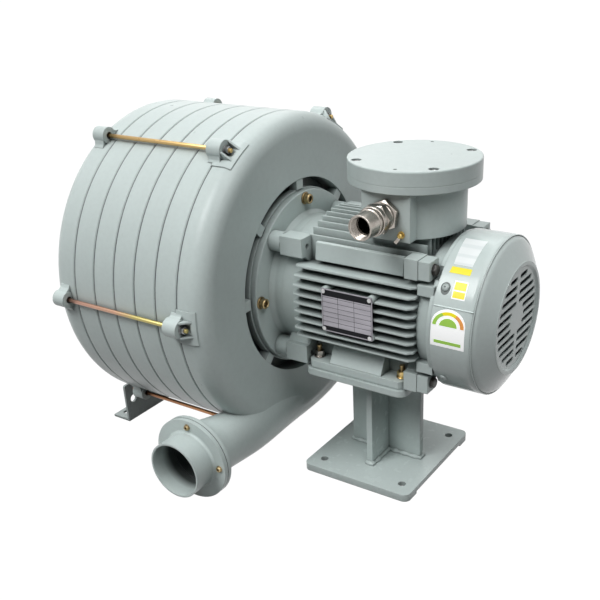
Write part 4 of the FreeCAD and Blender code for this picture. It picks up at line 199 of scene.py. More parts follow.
class Look:
    """One node material: a Principled shader, and short calls that build what feeds it."""

    def __init__(self, name, color, rough, metal=0.0):
        self.material = bpy.data.materials.new(name)
        self.material.use_nodes = True
        self.nodes = self.material.node_tree.nodes
        self.links = self.material.node_tree.links
        self.shader = self.nodes["Principled BSDF"]
        self.shader.inputs["Base Color"].default_value = (*color, 1)
        self.shader.inputs["Roughness"].default_value = rough
        self.shader.inputs["Metallic"].default_value = metal
        self.place = self.nodes.new("ShaderNodeTexCoord").outputs["Object"]

    def noise(self, scale, detail=2.0, stretch=None):
        """Noise between 0 and 1; stretch scales its coordinates along X, Y and Z."""
        place = self.place
        if stretch:
            mapping = self.nodes.new("ShaderNodeMapping")
            mapping.inputs["Scale"].default_value = stretch
            self.links.new(place, mapping.inputs["Vector"])
            place = mapping.outputs[0]
        node = self.nodes.new("ShaderNodeTexNoise")
        node.inputs["Scale"].default_value = scale
        node.inputs["Detail"].default_value = detail
        self.links.new(place, node.inputs["Vector"])
        return node.outputs["Fac"]

    def ramp(self, value, stops):
        """Colour from (position, colour or grey) stops."""
        node = self.nodes.new("ShaderNodeValToRGB")
        points = node.color_ramp.elements
        while len(points) < len(stops):
            points.new(0.5)
        for point, (at, color) in zip(points, stops):
            point.position = at
            point.color = (*color, 1) if isinstance(color, tuple) else (color, color, color, 1)
        self.links.new(value, node.inputs[0])
        return node.outputs[0]

    def math(self, kind, a, b):
        """Math node on two sockets or numbers."""
        node = self.nodes.new("ShaderNodeMath")
        node.operation = kind
        for socket, value in zip(node.inputs, (a, b)):
            if isinstance(value, (int, float)):
                socket.default_value = value
            else:
                self.links.new(value, socket)
        return node.outputs[0]

    def blend(self, kind, amount, a, b):
        """Colour mix of two sockets or colours."""
        node = self.nodes.new("ShaderNodeMix")
        node.data_type = "RGBA"
        node.blend_type = kind
        for socket, value in ((node.inputs[0], amount), (node.inputs[6], a), (node.inputs[7], b)):
            if isinstance(value, (int, float)):
                socket.default_value = value
            elif isinstance(value, tuple):
                socket.default_value = (*value, 1)
            else:
                self.links.new(value, socket)
        return node.outputs[2]

    def mapped(self, value, source=(0.0, 1.0), target=(0.0, 1.0)):
        """Value carried from one range to another, and held at its ends."""
        node = self.nodes.new("ShaderNodeMapRange")
        for name, number in zip(("From Min", "From Max", "To Min", "To Max"), (*source, *target)):
            node.inputs[name].default_value = number
        self.links.new(value, node.inputs["Value"])
        return node.outputs[0]

    def along(self, axis):
        """Coordinate along X, Y or Z."""
        node = self.nodes.new("ShaderNodeSeparateXYZ")
        self.links.new(self.place, node.inputs[0])
        return node.outputs[axis]

    def away(self, axis, centre):
        """Distance from the line along X, Y or Z through a centre in millimetres."""
        place = self.place
        square = [float(name != axis) for name in "XYZ"]
        for kind, value in (("SUBTRACT", Vector(centre) * MM), ("MULTIPLY", square)):
            node = self.nodes.new("ShaderNodeVectorMath")
            node.operation = kind
            node.inputs[1].default_value = value
            self.links.new(place, node.inputs[0])
            place = node.outputs["Vector"]
        length = self.nodes.new("ShaderNodeVectorMath")
        length.operation = "LENGTH"
        self.links.new(place, length.inputs[0])
        return length.outputs["Value"]

    def painted_corner_shade(self, reach, low=0.25, high=0.8):
        """Mask for painted shade: 0 in corners narrower than the reach, rising to 1 on open faces."""
        node = self.nodes.new("ShaderNodeAmbientOcclusion")
        node.samples = CREVICE_SAMPLES
        node.inputs["Distance"].default_value = reach
        return self.ramp(node.outputs["AO"], [(low, 0.0), (high, 1.0)])

    def colored(self, value):
        """Take the value as the colour."""
        self.links.new(value, self.shader.inputs["Base Color"])

    def roughened(self, value, low, high):
        """Take the value, carried to that range, as the roughness."""
        self.links.new(self.mapped(value, target=(low, high)), self.shader.inputs["Roughness"])

    def relief(self, layers, edge=0.0):
        """Bumps from (height, strength, depth) layers, over edges rounded by that radius."""
        normal = None
        if edge:
            bevel = self.nodes.new("ShaderNodeBevel")
            bevel.samples = EDGE_SAMPLES
            bevel.inputs["Radius"].default_value = edge
            normal = bevel.outputs[0]
        for height, strength, depth in layers:
            node = self.nodes.new("ShaderNodeBump")
            node.inputs["Strength"].default_value = strength
            node.inputs["Distance"].default_value = depth
            self.links.new(height, node.inputs["Height"])
            if normal is not None:
                self.links.new(normal, node.inputs["Normal"])
            normal = node.outputs[0]
        self.links.new(normal, self.shader.inputs["Normal"])


def dim(color, share):
    """The colour, darker or lighter by a share."""
    return tuple(c * share for c in color)


def painted_hollow_shade(look, axis, centre, radius, start, end, last, dark):
    """Painted shade: a factor that falls from 1 to dark from start to end along an axis, inside the radius
    and up to last.
    """
    place = look.along(axis)
    ahead = -1 if last < start else 1
    inside = look.math("LESS_THAN", look.away(axis, centre), radius * MM)
    within = look.math("LESS_THAN", look.math("MULTIPLY", place, ahead), last * ahead * MM)
    depth = look.mapped(place, (start * MM, end * MM))
    shaded = look.math("MULTIPLY", depth, look.math("MULTIPLY", inside, within))
    return look.math("SUBTRACT", 1.0, look.math("MULTIPLY", shaded, 1.0 - dark))


def painted_fin_root_shade(look, first, last, inner, outer, dark):
    """Painted shade between the fins: a factor that rises from dark to 1 between two distances from the
    shaft, from first to last along it.
    """
    place = look.along("X")
    along = look.math("MULTIPLY", look.math("GREATER_THAN", place, first * MM),
                      look.math("LESS_THAN", place, last * MM))
    depth = look.mapped(look.away("X", (0, 0, SHAFT_Z)), (outer * MM, inner * MM))
    shaded = look.math("MULTIPLY", depth, along)
    return look.math("SUBTRACT", 1.0, look.math("MULTIPLY", shaded, 1.0 - dark))


def paint_look(name, color, grain, edge, lumps=0.12, rough=(0.24, 0.38), shine=0.3, hollows=(),
               roots=None):
    """Sprayed enamel: orange peel, faint clouds and specks, with painted shade in the corners and hollows."""
    look = Look(name, color, 0.3)
    look.shader.inputs["Specular IOR Level"].default_value = shine
    cloud = look.noise(7.0, 3.0)
    speck = look.noise(160.0)
    tone = look.ramp(cloud, [(0.3, dim(color, 0.955)), (0.7, dim(color, 1.03))])
    tone = look.blend("MULTIPLY", 1.0, tone, look.ramp(speck, [(0.25, 0.965), (0.6, 1.0)]))
    # Painted shade: darker paint in recesses and tight corners, then in the shaded hollows and at the fin
    # roots
    tone = look.blend("MIX", look.painted_corner_shade(SHADE_REACH, 0.15, 0.8), dim(color, 0.5), tone)
    tone = look.blend("MIX", look.painted_corner_shade(CORNER_REACH), dim(color, 0.3), tone)
    for place in hollows:
        tone = look.blend("MULTIPLY", 1.0, tone, painted_hollow_shade(look, **place))
    if roots:
        tone = look.blend("MULTIPLY", 1.0, tone, painted_fin_root_shade(look, **roots))
    look.colored(tone)
    look.roughened(look.noise(60.0, 3.0), *rough)
    look.relief([(look.noise(95.0), lumps, 0.001), (look.noise(900.0), grain, 0.0006)], edge)
    return look.material


def metal_look(name, color, rough, stops=None, edge=0.0004, stretch=None, scale=70.0, shade=0.22,
               reach=0.006):
    """Plated or bare metal with clouded tint and fine scratches, and painted shade in its corners."""
    look = Look(name, color, rough, metal=1.0)
    patch = look.noise(scale, 3.0, stretch)
    tone = look.ramp(patch, stops or [(0.3, dim(color, 0.8)), (0.7, color)])
    look.colored(look.blend("MIX", look.painted_corner_shade(reach, 0.15, 0.9), dim(color, shade), tone))
    look.roughened(look.noise(400.0), max(rough - 0.07, 0.08), rough + 0.12)
    look.relief([(look.noise(1500.0, stretch=stretch), 0.1, 0.0003)], edge)
    return look.material


def dull_look(name, color, rough, grain=0.15, shine=0.5):
    """Plastic, rubber or print, with painted shade in its corners."""
    look = Look(name, color, rough)
    look.shader.inputs["Specular IOR Level"].default_value = shine
    tone = look.ramp(look.noise(40.0, 3.0), [(0.3, dim(color, 0.88)), (0.7, color)])
    look.colored(look.blend("MIX", look.painted_corner_shade(0.003), dim(color, 0.5), tone))
    look.roughened(look.noise(200.0), rough - 0.08, rough + 0.1)
    look.relief([(look.noise(500.0), grain, 0.0004)], 0.0003)
    return look.material


ROD_TINT_SPAN = (-430.0, -170.0)


def rod_look(name, stops):
    """Passivated rod whose tint drifts along its length, with painted shade in its corners."""
    darkest = dim(stops[0][1], 0.35)
    look = Look(name, stops[0][1], 0.3, metal=1.0)
    span = look.mapped(look.along("X"), [x * MM for x in ROD_TINT_SPAN])
    drift = look.math("ADD", span, look.math("MULTIPLY", look.noise(25.0, 3.0), 0.25))
    tone = look.ramp(look.math("SUBTRACT", drift, 0.12), stops)
    look.colored(look.blend("MIX", look.painted_corner_shade(0.004, 0.1, 0.7), darkest, tone))
    look.roughened(look.noise(300.0), 0.22, 0.4)
    look.relief([(look.noise(1200.0, stretch=(0.2, 1, 1)), 0.12, 0.0003)], 0.0003)
    return look.material


def print_look(name, color, rough, stripes=None, glow=0.12):
    """Printed film that glows a little, a painted brightness; stripes is (scale, tint) for faint generic
    ruling across the label.
    """
    look = Look(name, color, rough)
    tone = look.ramp(look.noise(30.0), [(0.3, dim(color, 0.95)), (0.7, color)])
    if stripes:
        scale, tint = stripes
        wave = look.nodes.new("ShaderNodeTexWave")
        wave.bands_direction = "Z"
        wave.inputs["Scale"].default_value = scale
        wave.inputs["Distortion"].default_value = 0.6
        look.links.new(look.place, wave.inputs["Vector"])
        tone = look.blend("MIX", look.ramp(wave.outputs["Fac"], [(0.12, 0.6), (0.4, 0.0)]), tone, tint)
    look.colored(tone)
    look.roughened(look.noise(200.0), rough - 0.06, rough + 0.08)
    look.relief([(look.noise(150.0), 0.05, 0.0003)])
    # Painted light: the film glows a little, though it is no lamp
    look.shader.inputs["Emission Color"].default_value = (*color, 1)
    look.shader.inputs["Emission Strength"].default_value = glow
    return look.material


# Painted shade, in millimetres: darker paint in the discharge bore, the drum's windows, the fan's room and at
# the fin roots
DUCT = {"axis": "Y", "centre": (DISCHARGE_X, 0, DISCHARGE_Z), "radius": 42.5, "start": -274, "end": -259,
        "last": -150, "dark": 0.13}
WINDOWS = {"axis": "X", "centre": (0, 0, SHAFT_Z), "radius": 153.5, "start": -152, "end": -163,
           "last": -195, "dark": 0.36}
FAN_ROOM = {"axis": "X", "centre": (0, 0, SHAFT_Z), "radius": 108.5, "start": 128.5, "end": 131,
            "last": 200, "dark": 0.08}
ROOTS = {"first": -90, "last": 78, "inner": 92.5, "outer": 106, "dark": 0.4}
looks = {
    "paint": paint_look("cast_paint", PAINT, 0.2, PAINT_EDGE),
    "paint_plate": paint_look("plate_paint", dim(PAINT, 0.97), 0.08, PAINT_EDGE, 0.08, (0.2, 0.32)),
    "pressed": paint_look("pressed_paint", dim(PAINT, 1.02), 0.05, PAINT_EDGE, 0.06, (0.14, 0.24), shine=0.4),
    "duct": paint_look("hollow_cast_paint", PAINT, 0.2, PAINT_EDGE, hollows=(DUCT, WINDOWS)),
    "shield": paint_look("shield_cast_paint", PAINT, 0.2, PAINT_EDGE, hollows=(FAN_ROOM,)),
    "finned": paint_look("finned_cast_paint", PAINT, 0.2, PAINT_EDGE, roots=ROOTS),
    # The rear bracket's darker paint is painted shade, as the drum shades it
    "plate_dark": paint_look("bracket_shaded_paint", dim(PAINT, 0.6), 0.08, PAINT_EDGE / 2, 0.08, (0.22, 0.34)),
    "cast_wheel": metal_look("cast_wheel", (0.62, 0.62, 0.61), 0.5),
    "turned_steel": metal_look("turned_steel", (0.6, 0.6, 0.6), 0.3),
    "bearing_steel": metal_look("bearing_steel", (0.7, 0.7, 0.71), 0.18),
    "yellow_zinc": metal_look("yellow_zinc", GOLD, 0.3,
                              [(0.3, (0.55, 0.4, 0.15)), (0.5, GOLD), (0.72, (0.7, 0.45, 0.26))]),
    "dark_zinc": metal_look("dark_zinc", (0.36, 0.27, 0.15), 0.34,
                            [(0.3, (0.2, 0.16, 0.1)), (0.55, (0.4, 0.3, 0.15)), (0.75, (0.5, 0.42, 0.26))]),
    "grey_steel": metal_look("grey_steel", (0.34, 0.35, 0.35), 0.3,
                             [(0.3, (0.2, 0.2, 0.2)), (0.55, (0.36, 0.37, 0.37)),
                              (0.75, (0.55, 0.56, 0.55))]),
    "rod_gold": rod_look("rod_gold", [(0.0, (0.42, 0.28, 0.12)), (0.5, (0.5, 0.34, 0.15)),
                                      (1.0, (0.52, 0.38, 0.16))]),
    "rod_rose": rod_look("rod_rose", [(0.0, (0.46, 0.25, 0.2)), (0.5, (0.48, 0.29, 0.2)),
                                      (0.62, (0.42, 0.36, 0.14))]),
    "rod_brown": rod_look("rod_brown", [(0.0, (0.2, 0.09, 0.05)), (0.6, (0.4, 0.2, 0.1)),
                                        (1.0, (0.22, 0.13, 0.07))]),
    "nickel": metal_look("nickel", (0.46, 0.42, 0.38), 0.22,
                         [(0.3, (0.34, 0.305, 0.27)), (0.7, (0.5, 0.465, 0.425))],
                         edge=0.0009, scale=40.0, shade=0.45, reach=0.003),
    "brass_screw": metal_look("brass_screw", (0.66, 0.47, 0.16), 0.3),
    "laminations": metal_look("laminations", (0.3, 0.31, 0.33), 0.5, stretch=(30, 1, 1)),
    "copper": metal_look("copper", (0.8, 0.42, 0.25), 0.35),
    "seal_rubber": dull_look("seal_rubber", (0.035, 0.035, 0.037), 0.6),
    "fan_plastic": dull_look("fan_plastic", (0.03, 0.032, 0.034), 0.5),
    "block_plastic": dull_look("block_plastic", (0.05, 0.05, 0.052), 0.5),
    "gasket": dull_look("gasket", (0.12, 0.115, 0.1), 0.75),
    "plate_face": metal_look("plate_face", (0.4, 0.385, 0.42), 0.34, scale=30.0, stretch=(1, 1, 8)),
    "plate_ink": dull_look("plate_ink", (0.014, 0.014, 0.017), 0.4, 0.05, shine=0.12),
    "dark_steel": metal_look("dark_steel", (0.22, 0.21, 0.2), 0.45),
    # Near-black look of the fan-end shield's screws: painted shade
    "painted_shade_steel": dull_look("painted_shade_steel", (0.035, 0.032, 0.028), 0.4),
    "sealant": dull_look("sealant", (0.09, 0.1, 0.105), 0.5),
    "screw_paint": dull_look("screw_paint", dim(PAINT, 0.75), 0.3, 0.05),
    # Lighter paint for the cover's pressed line: a painted highlight
    "painted_edge_highlight": dull_look("painted_edge_highlight", dim(PAINT, 1.4), 0.25, 0.02),
    "label_clear": print_look("label_clear", (0.78, 0.82, 0.82), 0.3, (42.0, (0.6, 0.66, 0.66))),
    "label_white": print_look("label_white", (0.93, 0.94, 0.94), 0.32, glow=0.3),
    "label_yellow": print_look("label_yellow", (0.86, 0.74, 0.01), 0.34),
    "label_green": print_look("label_green", (0.33, 0.6, 0.08), 0.34),
    "label_orange": print_look("label_orange", (0.8, 0.33, 0.08), 0.34),
    "shadow": dull_look("shadow", dim(PAINT, 0.3), 0.6),
}


# Shapes: parts are gathered in millimetres and become one piece in metres
HEX_POINTS = 24
HEX_SEAT = 0.95
HEX_SLOPE = 0.58
HOLE_CHAMFER = (0.5, 0.4)


def directions(axis):
    """The axis as a unit vector and two unit vectors square to it."""
    along = Vector(axis).normalized()
    guide = Vector((0, 0, 1)) if abs(along.z) < 0.9 else Vector((1, 0, 0))
    across = (guide - along * guide.dot(along)).normalized()
    return along, across, along.cross(across)


def around(radius, angle):
    """Point at that radius and angle about an origin."""
    t = math.radians(angle)
    return radius * math.cos(t), radius * math.sin(t)


def round_shaft(x, radius, angle):
    """Point round the shaft; 90 degrees is straight up and 180 the discharge side."""
    y, z = around(radius, angle)
    return Vector((x, y, SHAFT_Z + z))


class Shape:
    """Gathers parts of one piece."""

    def __init__(self):
        self.bm = bmesh.new()

    def skin(self, rings, loop=False):
        """Quads between equal rings of points, closed at both ends or looped on themselves."""
        rows = [[self.bm.verts.new(Vector(point) * MM) for point in ring] for ring in rings]
        pairs = list(zip(rows, rows[1:]))
        if loop:
            pairs.append((rows[-1], rows[0]))
        for here, there in pairs:
            for i in range(len(here)):
                j = (i + 1) % len(here)
                self.bm.faces.new((here[i], here[j], there[j], there[i]))
        if not loop:
            self.bm.faces.new(rows[0][::-1])
            self.bm.faces.new(rows[-1])

    def turned(self, start, axis, outline, sides, loop=False):
        """Turned solid from (along, radius) points; loop closes the section on itself."""
        start = Vector(start)
        along, across, up = directions(axis)
        rings = []
        for reach, radius in outline:
            ring = []
            for i in range(sides):
                c, s = around(radius, 360 * i / sides)
                ring.append(start + along * reach + across * c + up * s)
            rings.append(ring)
        self.skin(rings, loop)

    def shank(self, start, axis, radius, length, sides, tip=None):
        """Plain shank; tip is how far its first end is chamfered along and across."""
        outline = [(tip[0], radius)] if tip else []
        first = (0, radius - tip[1]) if tip else (0, radius)
        self.turned(start, axis, [first] + outline + [(length, radius)], sides)

    def washer(self, start, axis, hole, radius, thick, sides, bevel=None):
        """Flat washer; bevel is how far its rim is broken along and across."""
        rim = [(0, radius), (thick, radius)]
        if bevel:
            along, across = bevel
            rim = [(0, radius - across), (along, radius), (thick - along, radius), (thick, radius - across)]
        self.turned(start, axis, [(0, hole)] + rim + [(thick, hole)], sides, loop=True)

    def hexed(self, start, axis, flats, height, hole=0.0, both=False, turn=0.0):
        """Hexagon with the turned chamfer of a real head at its outer end, or at both ends."""
        start = Vector(start)
        along, across, up = directions(axis)
        middle = flats / 2
        seat = middle * HEX_SEAT

        def ring(reach, slope, radius=None):
            points = []
            for i in range(HEX_POINTS):
                angle = 360 * i / HEX_POINTS
                off = (angle + 30) % 60 - 30
                wide = middle / math.cos(math.radians(off))
                c, s = around(radius or wide, angle + turn)
                points.append(start + along * (reach + (wide - seat) * slope) + across * c + up * s)
            return points

        rings = [ring(0, 0, seat), ring(0, HEX_SLOPE)] if both else [ring(0, 0)]
        rings += [ring(height, -HEX_SLOPE), ring(height, 0, seat)]
        if hole:
            deep, wide = HOLE_CHAMFER
            rings += [ring(height, 0, hole + wide), ring(height - deep, 0, hole), ring(0, 0, hole)]
        self.skin(rings, bool(hole))

    def thread(self, start, axis, radius, length, pitch, sides):
        """Rod with the ridges of a thread and a chamfered tip."""
        depth = pitch * 0.5
        outline = [(0.0, radius)]
        reach = 0.0
        while reach + pitch < length - pitch:
            outline += [(reach + pitch * 0.15, radius), (reach + pitch * 0.5, radius - depth),
                        (reach + pitch * 0.85, radius - depth * 0.2)]
            reach += pitch
        outline += [(length - depth, radius), (length, radius - depth * 1.4)]
        self.turned(start, axis, outline, sides)

    def slab(self, low, high):
        """Box between two corners."""
        (x0, y0, z0), (x1, y1, z1) = low, high
        self.skin([[(x, y0, z0), (x, y1, z0), (x, y1, z1), (x, y0, z1)] for x in (x0, x1)])

    def bead(self, path, sizes, sides=8):
        """Round bead along a closed path, with a radius for each of its points."""
        rings = []
        for i, point in enumerate(path):
            along, across, up = directions(Vector(path[(i + 1) % len(path)]) - Vector(path[i - 1]))
            ring = []
            for k in range(sides):
                c, s = around(sizes[i], 360 * k / sides)
                ring.append(Vector(point) + across * c + up * s)
            rings.append(ring)
        self.skin(rings, loop=True)

    def film(self, rows, lift, under=0.02):
        """Thin film on the fan cover between two (x, angle) points per row."""
        rings = []
        for first, last in rows:
            ring = []
            for (x, angle), rise in ((first, under), (first, lift), (last, lift), (last, under)):
                ring.append(round_shaft(x, COVER_RADIUS + rise, angle))
            rings.append(ring)
        self.skin(rings)

    def done(self, name, look, slot=None, replaces=(), crease=30.0):
        """Make the piece, dress it and let it ride on the casing."""
        bmesh.ops.recalc_face_normals(self.bm, faces=self.bm.faces)
        mesh = bpy.data.meshes.new(name)
        self.bm.to_mesh(mesh)
        self.bm.free()
        mesh.polygons.foreach_set("use_smooth", [True] * len(mesh.polygons))
        mesh.set_sharp_from_angle(angle=math.radians(crease))
        mesh.materials.append(looks[look])
        piece = bpy.data.objects.new(name, mesh)
        bpy.context.scene.collection.objects.link(piece)
        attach(piece, "casing")
        if replaces:
            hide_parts(*replaces)


# Fasteners: an outline is (along, radius) points from the seat
SQUARE = (0, 90, 180, 270)
DIAGONAL = (45, 135, 225, 315)
ROD_CIRCLE = 252.5
ROD_RADIUS = 3.2
ROD_WAIST = 2.8
ROD_FIRST_X = -434.4
ROD_LAST_X = -168.6
ROD_BLIND_X = -184.0
ROD_THREADED = 20.0
ROD_PITCH = 1.25
ROD_OVERLAP = 0.2
ROD_TINTS = {"gold": (0, 60, 120, 300), "rose": (180,), "brown": (240,)}
BLIND_ANGLES = (240, 300)


def tie_rods():
    """Six rods with rolled threads at their ends, in the three tints of their plating."""
    for tint, angles in ROD_TINTS.items():
        rods = Shape()
        for angle in angles:
            last = ROD_BLIND_X if angle in BLIND_ANGLES else ROD_LAST_X
            start = round_shaft(ROD_FIRST_X + ROD_THREADED, ROD_CIRCLE, angle)
            length = last - ROD_THREADED - start.x
            rods.turned(start, TO_FAN, [(0, ROD_WAIST), (1, ROD_RADIUS), (length - 1, ROD_RADIUS),
                                        (length, ROD_WAIST)], 24)
            for reach, way in ((ROD_OVERLAP, -TO_FAN), (length - ROD_OVERLAP, TO_FAN)):
                rods.thread(start + TO_FAN * reach, way, ROD_RADIUS, ROD_THREADED, ROD_PITCH, 18)
        rods.done("tie_rods_" + tint, "rod_" + tint, "yellow_zinc", ["tie_rods"])


REAR_SEAT_X = -424.0
FRONT_SEAT_X = -179.0
ROD_WASHER = 1.2


def rod_nuts():
    """Nuts on washers at the ears of the two covers."""
    nuts = Shape()
    for angle in range(0, 360, 60):
        ends = [(REAR_SEAT_X, -TO_FAN)]
        if angle not in BLIND_ANGLES:
            ends.append((FRONT_SEAT_X, TO_FAN))
        for x, way in ends:
            seat = round_shaft(x, ROD_CIRCLE, angle)
            nuts.washer(seat, way, hole=3.3, radius=6.8, thick=ROD_WASHER, sides=28, bevel=(0.3, 0.2))
            nuts.hexed(seat + way * ROD_WASHER, way, flats=10, height=5.2, hole=3.25, turn=angle + 17)
    nuts.done("rod_nuts", "grey_steel", "yellow_zinc", ["tie_rod_nuts"])


FOOT_X = 70
FOOT_Y = 80
HEAD_SEAT_Z = 173
FOOT_TOP_Z = 195
SPRING_SEAT_Z = 196.6
NUT_SEAT_Z = 198.5
THREAD_START_Z = 197
THREAD_HOLE = 4.1


def foot_fasteners():
    """Bolts of the motor's feet, with a washer, a spring washer and a nut on each."""
    bolts = Shape()
    plain, gold = Shape(), Shape()
    for index, (x, y) in enumerate((sx * FOOT_X, sy * FOOT_Y) for sx in (-1, 1) for sy in (-1, 1)):
        nuts = gold if x > 0 else plain
        bolts.hexed((x, y, HEAD_SEAT_Z), -UP, flats=17, height=6.5)
        bolts.turned((x, y, HEAD_SEAT_Z), UP, [(0, 5), (22, 5), (22, 4), (25, 4)], 20)
        bolts.thread((x, y, THREAD_START_Z), UP, radius=4, length=17, pitch=1.25, sides=20)
        nuts.washer((x, y, FOOT_TOP_Z), UP, THREAD_HOLE, radius=8.5, thick=1.7, sides=32, bevel=(0.4, 0.3))
        nuts.washer((x, y, SPRING_SEAT_Z), UP, THREAD_HOLE, radius=6.8, thick=2.0, sides=28)
        nuts.hexed((x, y, NUT_SEAT_Z), UP, flats=13, height=6.5, hole=THREAD_HOLE, both=True,
                   turn=12 + 23 * index)
    bolts.done("foot_bolts_threaded", "dark_zinc", "yellow_zinc", ["foot_bolts"])
    plain.done("foot_nuts_plain", "nickel", "yellow_zinc", ["foot_nuts", "foot_washers"])
    gold.done("foot_nuts_gold", "yellow_zinc", "yellow_zinc", ["foot_nuts", "foot_washers"])


FLANGE_SEAT_X = -140.5
FLANGE_CIRCLE = 124
FLANGE_WASHER = 2
FLANGE_SHANK = 14
FLANGE_CAP = [(0, 7.0), (0.6, 7.5), (7.4, 7.5), (8.6, 6.7), (8.6, 4.9), (8.0, 4.4), (3.4, 4.3), (3.0, 0.3)]


def flange_screws():
    """Socket screws with washers in the motor's flange."""
    screws = Shape()
    for angle in SQUARE:
        seat = round_shaft(FLANGE_SEAT_X, FLANGE_CIRCLE, angle)
        screws.washer(seat, TO_FAN, hole=4.5, radius=9.3, thick=FLANGE_WASHER, sides=36, bevel=(0.4, 0.4))
        screws.shank(seat - TO_FAN * FLANGE_SHANK, TO_FAN, radius=5, length=16.5, sides=20, tip=(0.8, 0.8))
        screws.turned(seat + TO_FAN * FLANGE_WASHER, TO_FAN, FLANGE_CAP, 30)
    screws.done("flange_screws", "dark_zinc", "yellow_zinc", ["flange_bolts"])


SHIELD_SEAT_X = 118
SHIELD_SCREW_OFFSET = 83
SHIELD_SHANK = 34
SHIELD_WASHER = 1


def shield_screws():
    """Hex screws of the fan-end shield, on washers, near black as painted shade."""
    screws = Shape()
    for index, (side, rise) in enumerate((side, rise) for side in (-1, 1) for rise in (-1, 1)):
        seat = Vector((SHIELD_SEAT_X, side * SHIELD_SCREW_OFFSET, SHAFT_Z + rise * SHIELD_SCREW_OFFSET))
        screws.shank(seat - TO_FAN * SHIELD_SHANK, TO_FAN, radius=4, length=35, sides=18, tip=(1, 0.8))
        screws.washer(seat, TO_FAN, hole=4, radius=8, thick=SHIELD_WASHER, sides=28)
        screws.hexed(seat + TO_FAN * SHIELD_WASHER, TO_FAN, flats=13, height=4.5, turn=20 + 31 * index)
    screws.done("fan_shield_hex_screws", "painted_shade_steel", "yellow_zinc", ["fan_shield_screws"])


DISCHARGE_SEAT_Y = -256.5
DISCHARGE_CIRCLE = 54
DISCHARGE_GRIP = 14
DISCHARGE_CAP = [(0, 4.9), (0.5, 4.9), (0.7, 4.3), (2.6, 4.2), (3.6, 3.6), (4.0, 2.8), (4.0, 2.1), (3.6, 1.9),
                 (1.8, 1.8), (1.6, 0.2)]


def discharge_screws():
    """Screws of the discharge flange with the nuts behind it."""
    screws = Shape()
    for turn in SQUARE:
        c, s = around(DISCHARGE_CIRCLE, turn)
        seat = Vector((DISCHARGE_X + c, DISCHARGE_SEAT_Y, DISCHARGE_Z + s))
        screws.turned(seat, TO_MOUTH, DISCHARGE_CAP, 26)
        screws.shank(seat, -TO_MOUTH, radius=3, length=21, sides=18)
        screws.hexed(seat - TO_MOUTH * DISCHARGE_GRIP, -TO_MOUTH, flats=10, height=5, turn=turn + 20)
    screws.done("discharge_screws", "dark_zinc", "yellow_zinc", ["discharge_bolts"])


BRACKET_SEAT_X = -449
BRACKET_SCREW_Y = 42
BRACKET_SCREW_Z = 102
BRACKET_WASHER = 1.6
INLET_SEAT_X = -453
INLET_CIRCLE = 73


def rear_screws():
    """Hex screws of the rear bracket, on washers, and of the inlet flange."""
    screws = Shape()
    for side in (-1, 1):
        seat = Vector((BRACKET_SEAT_X, side * BRACKET_SCREW_Y, BRACKET_SCREW_Z))
        screws.washer(seat, -TO_FAN, hole=4, radius=8, thick=BRACKET_WASHER, sides=28)
        screws.hexed(seat - TO_FAN * BRACKET_WASHER, -TO_FAN, flats=13, height=5.5)
        screws.shank(seat - TO_FAN, TO_FAN, radius=4, length=20, sides=18)
    screws.done("bracket_screws", "yellow_zinc", "yellow_zinc", ["rear_bracket_bolts"])
    inlet = Shape()
    for angle in DIAGONAL:
        seat = round_shaft(INLET_SEAT_X, INLET_CIRCLE, angle)
        inlet.hexed(seat, -TO_FAN, flats=10, height=4)
        inlet.shank(seat - TO_FAN, TO_FAN, radius=3, length=20, sides=16)
    inlet.done("inlet_screws", "yellow_zinc", "yellow_zinc", ["inlet_bolts"])


COVER_SCREW_X = 139.5
COVER_SCREW_ANGLE = 35.5
DOME = [(-8, 2.3), (-7.5, 2.5), (0, 2.5), (0.05, 5), (1.2, 5), (2.2, 4.4), (2.8, 3.2), (3.0, 1.6), (2.4, 1.2),
        (1.6, 0.4)]
BOX_SCREW_CIRCLE = 81.2
BOX_SCREW_SEAT_Z = 480.5
BOX_SHANK = 16
BOX_CAP = [(0, 6.1), (0.4, 6.5), (7.0, 6.5), (8, 5.7), (8, 3.6), (7.4, 3.1), (4, 3.0), (3.6, 0.3)]


def cover_screws():
    """Domed screws of the fan cover, painted with it, and socket screws of the terminal cover."""
    screws = Shape()
    for half in (0, 180):
        for angle in (half + COVER_SCREW_ANGLE, half + 180 - COVER_SCREW_ANGLE):
            screws.turned(round_shaft(COVER_SCREW_X, COVER_RADIUS, angle), (0, *around(1, angle)), DOME, 28)
    screws.done("fan_cover_domed_screws", "screw_paint", "yellow_zinc", ["fan_cover_screws"])
    caps = Shape()
    for angle in DIAGONAL:
        c, s = around(BOX_SCREW_CIRCLE, angle)
        seat = Vector((BOX_X + c, s, BOX_SCREW_SEAT_Z))
        caps.turned(seat, UP, BOX_CAP, 28)
        caps.shank(seat - UP * BOX_SHANK, UP, radius=4, length=16.5, sides=18, tip=(0.6, 0.6))
    caps.done("terminal_socket_screws", "grey_steel", "brass_screw", ["terminal_cover_screws"])


GLAND_AXIS = Vector((BOX_X, 0, 429.5))
GLAND_BORE = 13.5
# How far out from the box's axis each part starts
GLAND_BODY_OUT = 69
GLAND_NUT_OUT = 81
GLAND_HEX_OUT = 96
GLAND_RIDGES_OUT = 109
GLAND_CAP_OUT = 110
GLAND_NECK = [(0, GLAND_BORE), (0, 14.9), (21, 14.9), (21.4, 17.8), (22.2, 18.5), (25, 18.5), (26.6, 17.4),
              (27, 16.6), (27, GLAND_BORE)]
RIDGE_COUNT = 9
RIDGE_PITCH = 2.2
MOUTH_THREADS = 7
MOUTH_PITCH = 2.6
GLAND_CAP = [(0, 15.6), (0, 19.2), (0.8, 20), (7.2, 20), (8, 19.2), (8.2, 17.4), (9.8, 17.4), (10.2, 18.6),
             (13.4, 18.6), (14.2, 17.6), (36.2, 17.0), (37, 16.4), (37, 15.4)]


